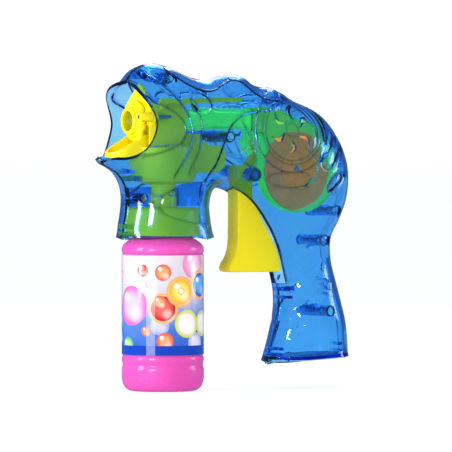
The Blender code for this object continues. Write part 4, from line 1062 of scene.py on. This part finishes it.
def grip_floor(side):
    """The plate that closes one half of the grip's lower end."""
    line = spline(GRIP_END, 2.0)
    low, high = line[1:-1] + np.array([0.0, 0.12]), line[1:-1] + np.array([0.0, WALL])
    reach = np.maximum(FIELD.depth(low) - WALL * 0.52, 5 * SEAM)
    verts = []
    for row in (low, high):
        verts += [(x, -side * FITTING_FACE, z) for x, z in row]
        verts += [(x, -side * y, z) for (x, z), y in zip(row[::-1], reach[::-1])]
    return make_object("floor", verts, capped_faces(2, 2 * len(low)), BLUE, smooth=False)


def locating_tab(x, z, inward, reach, thickness, side):
    """A small shelf on the inside of the edge, next to the parting plane."""
    plan = [(1.4, FITTING_FACE), (reach, FITTING_FACE), (reach, TAB_REACH_Y * 0.6),
            (reach * 0.86, TAB_REACH_Y * 0.9), (reach * 0.6, TAB_REACH_Y), (1.9, TAB_REACH_Y)]
    outline = [(x + inward * u, -side * v) for u, v in plan]
    return prism("tab", outline, z - thickness / 2, z + thickness / 2, BLUE, axis="Z")


def shell_fittings(side):
    """Posts, webs, tabs and lugs that are moulded on the inside of one half."""
    pieces = [grip_floor(side)]
    for x, z in SCREWS.values():
        ends = sorted((-side * FITTING_FACE, -side * wall_height(x, z, POST_RADIUS)))
        pieces.append(disc("post", POST_RADIUS, *ends, (x, 0, z), "Y", BLUE, 36))
    x, z = TRIGGER_PIVOT
    ends = sorted((-side * 9.5, -side * wall_height(x, z, PIVOT_POST_RADIUS)))
    pieces.append(disc("post", PIVOT_POST_RADIUS, *ends, (x, 0, z), "Y", BLUE, 36))
    for tab in TABS:
        pieces.append(locating_tab(*tab, side))
    for x0, x1, z0, z1 in WEBS:
        outline = [(x0, z0), (x1, z0), (x1, z1), (x0, z1)]
        pieces.append(prism("web", outline, *sorted((-side * FITTING_FACE, -side * 1.7)), BLUE))
    for x, z, radius, reach in LUGS:
        ends = sorted((-side * FITTING_FACE, -side * reach))
        pieces.append(disc("lug", radius, *ends, (x, 0, z), "Y", BLUE, 28))
    return pieces


def crescent_outline(k):
    """One curved blade of the intake."""
    inner, outer = INTAKE_RADII
    start = math.tau * (k + 0.2) / INTAKE_SLOTS
    ring = []
    for t, bulge in [(0, 0), (0.25, -1), (0.5, -1.35), (0.75, -1), (1, 0),
                     (0.75, 0.35), (0.5, 0.45), (0.25, 0.35)]:
        radius = inner + (outer - inner) * t
        turn = start + 0.42 * math.sin(math.pi * t) + bulge * 0.13
        ring.append(polar(INTAKE, radius, turn))
    return spline(ring, 0.8, closed=True)[:-1]


def shell_cuts(side):
    """Everything that is cut out of one half, as separate tools."""
    tools = [prism("slot", TRIGGER_SLOT, -TRIGGER_SLOT_HALF_WIDTH, TRIGGER_SLOT_HALF_WIDTH, BLUE)]
    x, z = TRIGGER_PIVOT
    tools.append(disc("bore", 1.75, *sorted((-side * 7.6, -side * 16.4)), (x, 0, z), "Y", BLUE, 24))
    for k in range(INTAKE_SLOTS):
        tools.append(prism("blade", crescent_outline(k), *sorted((-side * 10.0, -side * 30.0)), BLUE))
    for x, z in SCREWS.values():
        depth = FIELD.depth([(x, z)])[0]
        if side > 0:
            head = -depth * 0.5
            profile = [(SCREW_HEAD_RADIUS + 0.3, -depth - 3), (SCREW_HEAD_RADIUS + 0.3, head),
                       (SCREW_RADIUS + 0.25, head), (SCREW_RADIUS + 0.25, 1)]
            tools.append(turned("bore", profile, (x, 0, z), "Y", BLUE, 28, smooth=False))
        else:
            tools.append(disc("bore", SCREW_RADIUS + 0.25, -1, min(SCREW_DEPTH + 0.5, depth - 3.5),
                              (x, 0, z), "Y", BLUE, 24))
    return tools


def build_shells():
    """Both halves of the body, with the attribute that paints shade along the moulded lines."""
    for name, node, side in (("left_casing", "left_shell", 1.0), ("right_casing", "right_shell", -1.0)):
        shell = shell_half(name, side)
        add(shell, fused(shell_fittings(side)))
        cut(shell, joined("cuts", shell_cuts(side)))
        shade(shell, 50)
        shell.data.materials.clear()
        shell.data.materials.append(BLUE)
        places = np.array([vertex.co[:] for vertex in shell.data.vertices]) / MM
        # painted shade: this attribute darkens the shell's colour along the grooves and the step edges
        groove_shade = shell.data.attributes.new("line", "FLOAT", "POINT")
        groove_shade.data.foreach_set("value", groove_painted_shade(places[:, (0, 2)]))
        finish_piece(shell, "frame", "blue_plastic", node)


# ---------------------------------------------------------------------- screws
def build_screws():
    """Pan-head screws with a cross recess and a coarse thread."""
    for name, (x, z) in SCREWS.items():
        depth = FIELD.depth([(x, z)])[0]
        head = -depth * 0.5 - 0.3
        tip = min(SCREW_DEPTH, depth - 4.0)
        profile = [(0.15, head - 1.4), (1.0, head - 1.38), (1.6, head - 1.2), (1.95, head - 0.85),
                   (SCREW_HEAD_RADIUS, head - 0.45), (SCREW_HEAD_RADIUS, head)]
        turns = int((tip - 1.4 - head) / 0.9)
        for k in range(turns):
            base = head + 0.3 + 0.9 * k
            profile += [(0.86, base), (SCREW_RADIUS, base + 0.4), (0.86, base + 0.8)]
        profile += [(0.8, tip - 1.0), (0.25, tip), (0.12, tip - 0.3)]
        screw = lathe("fastener_" + name, profile, (x, 0, z), "Y", STEEL, 32)
        arm, half = 1.15, 0.24
        cross = []
        for k in range(4):
            c, s = math.cos(math.radians(45 + 90 * k)), math.sin(math.radians(45 + 90 * k))
            cross += [(x + a * c - b * s, z + a * s + b * c)
                      for a, b in ((arm, -half), (arm, half), (half, half))]
        cut(screw, prism("recess", cross, head - 3.0, head - 0.65, STEEL))
        shade(screw, 35)
        finish_piece(screw, "frame", "steel", "screw_" + name)


# ---------------------------------------------------------------------- blower
def volute_outline(gap, count=90):
    """Scroll round the fan that opens into a channel towards the muzzle."""
    points = []
    for k in range(count + 1):
        share = k / count
        radius = FAN_RADIUS + 0.8 + 4.0 * share ** 1.6 + gap
        points.append(polar(FAN_CENTRE, radius, math.radians(150 + 300 * share)))
    points += [(28.0, 143.2 + gap), (18.0, 145.2 + gap), (DUCT_REAR_X + 0.4, 145.2 + gap),
               (DUCT_REAR_X + 0.4, 135.2 - gap), (14.5, 134.0 - gap), (17.6, 130.0 - gap)]
    return points


def build_blower():
    """The scroll housing and its lid, which has the round inlet."""
    fx, fz = FAN_CENTRE
    low, high = HOUSING_Y
    housing = prism("blower_scroll", volute_outline(HOUSING_WALL), low, high, LIME)
    outlet = [(5, 135.8), (14, 135.8), (14, 144.6), (5, 144.6)]
    cut(housing, prism("hollow", volute_outline(0.0), low - 1, high - HOUSING_BACK, LIME))
    cut(housing, prism("outlet", outlet, low - 1, high - HOUSING_BACK, LIME))
    bores = [disc("bore", 1.9, high - 3, high + 1, (fx, 0, fz), "Y", LIME, 24)]
    bores += [disc("bore", 1.25, high - 3, high + 1, (x, 0, z), "Y", LIME, 24)
              for x, z in (FIRST_GEAR, SECOND_GEAR)]
    cut(housing, joined("bores", bores))
    round_edges(housing, 0.25, 2)
    finish_piece(housing, "frame", "lime_plastic", "blower_housing")
    cover = prism("blower_lid", volute_outline(0.6), low - 1.3, low - 0.3, LIME_LID)
    cut(cover, disc("inlet", 11.0, low - 3, low + 1, (fx, 0, fz), "Y", LIME_LID, 64))
    round_edges(cover, 0.2, 2)
    finish_piece(cover, "frame", "lime_plastic", "blower_cover")


def build_fan():
    """The impeller: a back plate, a hub and eight swept blades."""
    fx, fz = FAN_CENTRE
    low, high = HOUSING_Y
    outer = FAN_RADIUS - 1.3
    leading = ((5.2, 0.0), (8.4, 0.06), (11.5, 0.16), (15.0, 0.31), (outer, 0.52))
    trailing = ((outer, 0.57), (15.0, 0.38), (11.5, 0.25), (8.4, 0.17), (5.2, 0.18))
    wheel = disc("fan_wheel", FAN_RADIUS, high - 3.0, high - 1.9, (fx, 0, fz), "Y", ORANGE_SELF_LIT, 96)
    add(wheel, disc("hub", 3.4, low + 2.4, high - 2.4, (fx, 0, fz), "Y", ORANGE_SELF_LIT, 40))
    for k in range(BLADE_COUNT):
        turn = math.tau * k / BLADE_COUNT + 0.05
        blade = [polar(FAN_CENTRE, radius, turn + sweep) for radius, sweep in leading + trailing]
        add(wheel, prism("blade", blade, low + 0.8, high - 2.4, ORANGE_SELF_LIT))
    cut(wheel, disc("bore", 1.25, low - 1, high, (fx, 0, fz), "Y", ORANGE_SELF_LIT, 24))
    round_edges(wheel, 0.15, 2)
    finish_piece(wheel, "fan", "orange_plastic", "fan")


def build_duct():
    """Loft from the rectangular outlet of the blower to the round nozzle."""
    middle = sum(HOUSING_Y) / 2
    stations = np.array([
        (DUCT_REAR_X, middle, 140.4, 3.8, 5.2, 0.35), (-3.0, middle + 0.3, 140.6, 4.6, 5.4, 0.45),
        (-15.0, -8.4, 140.9, 5.8, 5.8, 0.65), (-26.0, -4.6, 140.6, 7.0, 7.0, 0.9),
        (-34.0, -1.2, 140.0, 7.8, 7.8, 1.0), (DUCT_FRONT_X, 0.0, NOZZLE_Z, 8.0, 8.0, 1.0)])
    fine = spline(stations, 1.6)
    segments = 48
    verts = []
    for inset, rows in ((0.0, fine), (HOUSING_WALL, fine[::-1])):
        for x, y, z, half_y, half_z, power in rows:
            for j in range(segments):
                turn = math.tau * j / segments
                c, s = math.cos(turn), math.sin(turn)
                verts.append((x, y + (half_y - inset) * math.copysign(abs(c) ** power, c),
                              z + (half_z - inset) * math.copysign(abs(s) ** power, s)))
    duct = make_object("air_channel", verts, ring_faces(2 * len(fine), segments), LIME)
    finish_piece(duct, "frame", "lime_plastic", "air_duct")


# ----------------------------------------------------------------------- front
def build_nozzle():
    """The turned nozzle: rounded steps round the hole and three notches in the rim."""
    face = NOZZLE_FACE_X
    profile = [
        (APERTURE_RADIUS, face - 3.4), (5.9, face - 3.6), (6.6, face - 3.6), (7.1, face - 3.1),
        (7.2, face - 1.6), (7.5, face - 1.3), (8.4, face - 1.4), (8.8, face - 0.9), (9.0, face - 0.1),
        (9.3, face),
        (NOZZLE_RADIUS - 0.5, face), (NOZZLE_RADIUS, face + 0.5), (NOZZLE_RADIUS, face + 1.7),
        (NOZZLE_RADIUS - 0.4, face + 2.2), (8.8, face + 2.2), (8.4, face + 2.6), (8.4, face + 8.2),
        (8.1, face + 8.6), (6.9, face + 8.6), (6.6, face + 1.0), (APERTURE_RADIUS, face - 1.0),
    ]

    def notched(radius, height, turn):
        """The rim's radius, less where one of its three notches is."""
        if radius < NOZZLE_RADIUS - 1.0 or height > face + 2.3:
            return radius
        for middle in (150, 182, 214):
            if abs(math.degrees(turn) - middle) < 6.5:
                return radius - 1.1
        return radius

    nozzle = lathe("muzzle_ring", profile, (0, 0, NOZZLE_Z), "X", YELLOW, 144, notched)
    finish_piece(nozzle, "frame", "yellow_plastic", "bubble_nozzle")


def build_nozzle_plate():
    """The horseshoe plate behind the nozzle, with the shroud and the wiper's lug."""
    face = NOZZLE_FACE_X
    front, rear = face + 2.5, face + 4.6
    back = prism("muzzle_plate", smooth_profile(PLATE, 1.2), front, rear, YELLOW, axis="X")
    add(back, disc("lug", 2.6, front, rear, (0, *WIPER_PIVOT), "X", YELLOW, 40))
    cut(back, disc("bore", 8.7, front - 1, rear + 1, (0, 0, NOZZLE_Z), "X", YELLOW, 64))
    cut(back, disc("bore", WIPER_BORE, front - 1, rear + 1, (0, *WIPER_PIVOT), "X", YELLOW, 24))
    add(back, prism("shroud", smooth_profile(SHROUD, 0.5), front, SHROUD_REAR_X, YELLOW, axis="X"))
    round_edges(back, 0.4, 3)
    finish_piece(back, "frame", "yellow_plastic", "nozzle_plate")


def spout_body(outline, half_width, rear_x):
    """A side outline of the spout, rounded in front as seen from above."""
    body = prism("spout", outline, -half_width, half_width, YELLOW)
    front = [polar((SPOUT_TIP_X, 0.0), half_width, a) for a in np.radians(range(90, 271, 6))]
    plan = front + [(rear_x, -half_width), (rear_x, half_width)]
    return combine(body, prism("plan", plan, 100.0, 180.0, YELLOW, axis="Z"), "INTERSECT")


def build_funnel():
    """Cup under the nozzle, its ledge, and the spout that sticks out of the mouth."""
    segments = 120
    profile = smooth_profile(CUP_OUTSIDE + CUP_INSIDE, 0.6)
    cup = []
    for z, shift, radius in profile:
        for j in range(segments):
            cup.append((*polar((BOTTLE_X + shift, 0.0), radius, math.tau * j / segments), z))
    funnel = make_object("drip_cup", cup, ring_faces(len(profile), segments), YELLOW)
    ledge = prism("ledge", smooth_profile(LEDGE, 1.0), -LEDGE_HALF_WIDTH, LEDGE_HALF_WIDTH, YELLOW)
    hollow = LEDGE_HALF_WIDTH - LEDGE_WALL
    cut(ledge, prism("hollow", LEDGE_HOLLOW, -hollow, hollow, YELLOW))
    add(funnel, ledge)
    spout = spout_body(smooth_profile(SPOUT, 0.8), SPOUT_HALF_WIDTH, -30.0)
    cut(spout, spout_body(SPOUT_HOLLOW, SPOUT_HALF_WIDTH - SPOUT_WALL, -20.0))
    round_edges(spout, 0.35, 3)
    add(funnel, spout)
    ends = (NOZZLE_FACE_X - 6, NOZZLE_FACE_X + 30)
    cut(funnel, disc("room", NOZZLE_ROOM_RADIUS, *ends, (0, 0, NOZZLE_Z), "X", YELLOW, 72))
    shade(funnel, 42)
    finish_piece(funnel, "frame", "yellow_plastic", "drip_funnel")


def build_adaptor():
    """The cap that the bottle screws into."""
    low, top, radius = 80.4, 93.6, 19.0
    profile = smooth_profile([(15.9, low), (radius, low), (radius, top), (radius - 1.5, top + 1.4),
                              (7.0, top + 1.4), (7.0, 100.8), (5.4, 100.8), (5.4, top), (15.9, top)], 0.4)
    adaptor = lathe("bottle_collar", profile, (BOTTLE_X, 0, 0), "Z", YELLOW, 120)
    finish_piece(adaptor, "frame", "yellow_plastic", "bottle_adaptor")


def build_wiper():
    """The arm that wipes a film of bubble liquid across the nozzle."""
    y, z = WIPER_PIVOT
    face = NOZZLE_FACE_X - 4.1
    arm = [(y - 1.6, z - 11.6), (y + 0.6, z - 12.6), (y + 2.0, z - 11.4), (y + 1.8, z - 4.0),
           (y + 2.2, z + 1.0), (y, z + 2.6), (y - 2.2, z + 1.0), (y - 1.8, z - 4.0)]
    wiper = prism("film_wiper", smooth_profile(arm, 0.9), face - 1.3, face, YELLOW, axis="X")
    add(wiper, disc("hub", 2.5, face - 1.3, face + 6.2, (0, y, z), "X", YELLOW, 40))
    cut(wiper, disc("bore", WIPER_BORE, face - 3, face + 12, (0, y, z), "X", YELLOW, 24))
    round_edges(wiper, 0.2, 2)
    finish_piece(wiper, "wiper", "yellow_plastic", "wiper_arm")


# --------------------------------------------------------------------- trigger
def sector_outline(x, z):
    """The toothed sector on the back of the trigger: seven involute teeth of a full gear."""
    module, teeth, bearing = 0.8, 60, math.radians(38.0)
    pitch, step, pressure = module * teeth / 2, math.tau / teeth, math.radians(20.0)
    base = pitch * math.cos(pressure)
    tip, root = pitch + module * 0.5, pitch - module * 1.65
    half = (math.pi / 2 - 0.8 * math.tan(pressure)) / teeth - 0.11 / pitch
    even = math.tan(pressure) - pressure

    def half_angle(radius):
        """Half of a tooth's width at a radius, as an angle."""
        roll = math.acos(min(1.0, base / radius))
        return half + even - (math.tan(roll) - roll)

    start = max(base, root + 0.05)
    radii = [root] + [start + (tip - start) * t for t in (0.0, 0.33, 0.66, 1.0)]
    points = []
    for k in range(-5, 2):
        middle = bearing + step * k
        flank = [(r, half_angle(max(r, start))) for r in radii]
        for r, a in [(r, -a) for r, a in flank] + [(r, a) for r, a in reversed(flank)]:
            points.append(polar((x, z), r, middle + a))
    edges = [polar((x, z), pitch - 3, a) for a in (bearing - 5.4 * step, bearing + 1.6 * step)]
    hub = [polar((x, z), 3.0, a) for a in (bearing + 1.0, bearing - 1.2)]
    return [edges[0]] + points + [edges[1]] + hub


def build_trigger():
    """The hollow trigger with its pivot head and gear sector."""
    x, z = TRIGGER_PIVOT
    head = [polar((x, z), 4.6, a) for a in np.radians(range(10, 171, 20))]
    front = spline([(6.3, 103.0), (6.3, 86.0), (5.9, 75.0), (4.2, 69.0), (1.9, 65.6)], 1.5)
    toe = spline([(1.9, 65.6), (1.0, 63.2), (1.5, 61.5), (3.2, 60.8)], 0.6)
    heel = spline([(30.2, 60.6), (31.8, 61.0), (32.5, 62.2), (32.1, 64.2)], 0.6)
    back = spline([(32.1, 64.2), (30.8, 70.0), (26.0, 80.0), (20.0, 90.5), (15.4, 101.0)], 1.8)
    outline = [tuple(p) for part in (front, toe[1:], heel, back[1:]) for p in part] + head
    trigger = prism("trigger_lever", outline, -TRIGGER_HALF_WIDTH, TRIGGER_HALF_WIDTH, YELLOW)
    round_edges(trigger, 1.3, 5, angle=50)
    hollow = [(8.3, 86.0), (7.9, 75.0), (6.2, 68.0), (4.6, 63.0), (40.0, 63.0), (40.0, 95.0),
              (14.0, 101.0), (8.3, 101.0)]
    wall = TRIGGER_HALF_WIDTH - 1.8
    cut(trigger, prism("hollow", hollow, -wall, wall, YELLOW))
    add(trigger, prism("sector", sector_outline(x, z), -1.6, 1.6, YELLOW))
    cut(trigger, disc("bore", 1.8, -9, 9, (x, 0, z), "Y", YELLOW, 32))
    # the trigger takes the darker yellow copy, painted down because it stands in the light
    trigger.data.materials.clear()
    trigger.data.materials.append(YELLOW_TRIGGER_DIMMED)
    shade(trigger, 40)
    finish_piece(trigger, "trigger", "yellow_plastic", "trigger")


def build_trigger_spring():
    """A torsion spring round the pin: a leg on the trigger and a leg on the body."""
    x, z = TRIGGER_PIVOT
    radius, wire = 2.5, 0.32
    line = [(x - 10.0, 7.0, z + 5.5), (x - 6.0, 7.0, z + 3.6)]
    turns, per_turn = 3, 28
    for k in range(turns * per_turn + 1):
        y = 7.2 + 1.9 * k / (turns * per_turn)
        angle = math.radians(110) + math.tau * k / per_turn
        line.append(place("Y", y, *polar((x, z), radius, angle)))
    line += [(x - 5.4, 9.1, z + 1.0), (x - 10.0, 9.1, z - 1.6)]
    spring = swept("return_spring", line, wire, STEEL, 10)
    finish_piece(spring, "frame", "steel", "trigger_spring")


# ------------------------------------------------------------------------ tube
def build_pump_tube():
    """The hose: up from the bottle, round the pump and forward to the nozzle."""
    x, z = FIRST_GEAR
    middle = sum(PUMP_Y) / 2 + 0.1
    loop = []
    for degrees in range(150, -121, -30):
        loop.append(place("Y", middle, *polar((x, z), PUMP_TUBE_LOOP, math.radians(degrees))))
    loop[0] = (x - 9.0, middle, z + 8.0)
    loop[-1] = (x - 6.2, middle, z - 7.6)
    suction = [(BOTTLE_X, 0.0, 9.0), (BOTTLE_X, 0.0, 50.0), (BOTTLE_X, 0.0, 92.0),
               (BOTTLE_X + 0.2, 0.6, 103.0), (BOTTLE_X + 1.0, 2.0, 110.0), (-32.0, 5.0, 119.0),
               (-26.0, 8.6, 129.0), (-15.0, 12.0, 134.0), (-3.0, 13.2, 141.4), (8.0, 13.8, 146.8),
               (17.0, 13.8, 147.0), (22.4, middle, 143.2)]
    feed = [(x - 14.0, middle, z - 9.0), (2.0, 14.0, 124.5), (-14.0, 13.0, 127.0),
            (-28.0, 13.4, 134.0), (-38.5, 12.0, 141.0)]
    hose = swept("liquid_hose", spline(suction + loop + feed, 1.4), 1.35, CLEAR, 16, bore=0.75)
    finish_piece(hose, "frame", "clear_plastic", "pump_tube")


# ---------------------------------------------------------------------- bottle
def build_bottle():
    """The moulded bottle and its printed sleeve."""
    wall = 1.2
    foot = [(15.6, 0.0), (17.4, 0.35), (19.1, 1.3), (20.3, 2.9), (21.0, 4.9), (21.3, 7.0), (21.3, 11.2),
            (21.2, 12.2), (20.85, 12.9), (20.75, 13.6), (20.85, 14.4), (21.15, 15.2), (21.25, 16.0),
            (21.2, 17.6), (20.95, 18.2)]
    label_recess = [(20.7, 18.5), (20.7, 71.1)]
    shoulder = [(20.95, 71.4), (21.25, 71.9), (21.3, 73.2), (21.1, 74.5), (20.4, 75.8), (18.8, 77.2),
                (17.1, 78.4), (15.6, 79.1)]
    neck = [(15.0, 79.6), (15.0, 81.5), (15.4, 82.0), (15.5, 82.8), (15.4, 83.6), (15.0, 84.2),
            (15.0, 91.2), (14.8, 91.5)]
    outer = foot + label_recess + shoulder + neck
    inner = [(14.0, 91.5), (15.0 - wall, 91.2), (15.0 - wall, 78.8), (19.3, 74.0), (19.3, 12.0), (20.0, 9.0),
             (19.8, 6.4), (18.4, 3.4), (16.0, 1.8), (0.4, 1.8), (0.4, 0.6), (13.4, 0.6), (14.4, 0.0)]
    bottle = lathe("bottle_body", outer + inner, (BOTTLE_X, 0, 0), "Z", PINK, 144)
    finish_piece(bottle, "bottle", "pink_plastic", "bottle")
    low, high = LABEL_SPAN
    sleeve = [(20.95, low + 0.02), (LABEL_RADIUS - 0.06, low), (LABEL_RADIUS, low + 0.08),
              (LABEL_RADIUS, high - 0.08), (LABEL_RADIUS - 0.06, high), (20.95, high - 0.02)]
    label = lathe("label_sleeve", sleeve, (BOTTLE_X, 0, 0), "Z", LABEL, 160)
    finish_piece(label, "bottle", "label_film", "bottle_label")


# ------------------------------------------------------------ carried-over CAD
BEVELS = {"gearbox_plate": 0.2, "pump_housing": 0.2, "wiper_rod": 0.2, "compound_gear_1": 0.08,
          "compound_gear_2": 0.08, "clutch_pinion": 0.08, "clutch_dog": 0.2, "pump_rotor": 0.1}


def dress_cad_nodes():
    """Give every CAD node its slot's material, and soft edges where they show."""
    slots = {row["node"]: row["material_slot"] for row in frame["record"]["subparts"]}
    for name, obj in frame["nodes"].items():
        for k in range(len(obj.material_slots)):
            obj.material_slots[k].link = "OBJECT"
            obj.material_slots[k].material = SLOT_LOOKS[slots[name]]
        if name in BEVELS:
            bevel_edges(obj, BEVELS[name], segments=2, angle=40)


# ---------------------------------------------------------- camera and lights
WORLD_SEEN, WORLD_LIGHT, WORLD_MIRRORED = 1.06, 0.86, 0.55
MIRRORED_TINT = (0.18, 0.38, 0.85)
FLOOR_GLOW = 0.70
CAMERA_AIM = Vector((0.0023, 0.0, 0.0848))
CAMERA_AZIMUTH = math.radians(-30.0)
CAMERA_ELEVATION = math.radians(1.5)
CAMERA_DISTANCE = 3.918
CAMERA_LENS = 600.0
SOFTBOXES = [            # azimuth, elevation, distance, width, height, power
    (-60.0, 7.0, 0.85, 0.16, 0.16, 2.6), (-96.0, 14.0, 0.85, 0.16, 0.40, 3.2),
    (66.0, 10.0, 0.90, 0.26, 0.30, 1.6), (150.0, 30.0, 1.0, 0.30, 0.40, 1.1),
]


def direction(azimuth, elevation):
    """Unit vector from the object towards a camera or lamp."""
    return Vector((math.sin(azimuth) * math.cos(elevation), -math.cos(azimuth) * math.cos(elevation),
                   math.sin(elevation)))


def build_camera():
    """A long lens from the left, a little in front of the object."""
    data = bpy.data.cameras.new("camera")
    data.lens = CAMERA_LENS
    data.sensor_width = 36.0
    data.clip_start = 0.01
    camera = in_scene("camera", data)
    back = direction(CAMERA_AZIMUTH, CAMERA_ELEVATION)
    camera.location = CAMERA_AIM + back * CAMERA_DISTANCE
    camera.rotation_euler = back.to_track_quat("Z", "Y").to_euler()
    bpy.context.scene.camera = camera


def build_lights():
    """Rectangular softboxes that face the object."""
    for k, (azimuth, elevation, distance, width, height, power) in enumerate(SOFTBOXES):
        data = bpy.data.lights.new("softbox_%d" % k, "AREA")
        data.shape = "RECTANGLE"
        data.size, data.size_y = width, height
        data.energy = power
        lamp = in_scene(data.name, data)
        back = direction(math.radians(azimuth), math.radians(elevation))
        lamp.location = CAMERA_AIM + back * distance
        lamp.rotation_euler = back.to_track_quat("Z", "Y").to_euler()


def build_world():
    """White behind the object, and a softer sky for what lights and mirrors in it."""
    world = bpy.data.worlds.new("studio")
    world.use_nodes = True
    tree = world.node_tree
    sky = tree.nodes["Background"]
    path = tree.nodes.new("ShaderNodeLightPath")
    strength = WORLD_SEEN
    for ray, value in (("Diffuse Depth", WORLD_LIGHT), ("Glossy Depth", WORLD_MIRRORED)):
        ranged = tree.nodes.new("ShaderNodeMapRange")
        tree.links.new(path.outputs[ray], ranged.inputs["Value"])
        ranged.inputs["To Max"].default_value = value
        if isinstance(strength, float):
            ranged.inputs["To Min"].default_value = strength
        else:
            tree.links.new(strength, ranged.inputs["To Min"])
        strength = ranged.outputs["Result"]
    tree.links.new(strength, sky.inputs["Strength"])
    tint = tree.nodes.new("ShaderNodeMix")
    tint.data_type = "RGBA"
    tree.links.new(path.outputs["Glossy Depth"], tint.inputs[0])
    tint.inputs[6].default_value = (0.98, 0.99, 1.0, 1.0)
    tint.inputs[7].default_value = (*MIRRORED_TINT, 1.0)
    tree.links.new(tint.outputs[2], sky.inputs["Color"])
    bpy.context.scene.world = world


def build_floor():
    """A wide pale floor."""
    g = MaterialGraph("studio_floor")
    g.link(g.mix(g.noise(6.0, 2.0), (0.35, 0.35, 0.35), (0.37, 0.37, 0.37)), g.shader.inputs["Base Color"])
    g.link(g.spread(g.noise(20.0), 0.75, 0.85), g.shader.inputs["Roughness"])
    g.shader.inputs["Specular IOR Level"].default_value = 0.2
    g.glow((1.0, 1.0, 1.0), FLOOR_GLOW)
    radius, thick = 6000.0, 4.0
    floor = disc("studio_floor", radius, -thick - 0.05, -0.05, (0, 0, 0), "Z", g.material, 96)
    floor.visible_glossy = False


def render_options():
    """Enough bounces for light to pass through nested clear shells."""
    scene = bpy.context.scene
    scene.view_settings.view_transform = "Standard"
    scene.cycles.use_denoising = True
    scene.cycles.max_bounces = 28
    scene.cycles.transmission_bounces = 26
    scene.cycles.transparent_max_bounces = 32
    scene.cycles.caustics_refractive = True


build_camera()
build_lights()
build_world()
build_floor()
render_options()
dress_cad_nodes()
build_shells()
build_screws()
build_blower()
build_fan()
build_duct()
build_nozzle()
build_nozzle_plate()
build_funnel()
build_adaptor()
build_wiper()
build_trigger()
build_trigger_spring()
build_pump_tube()
build_bottle()
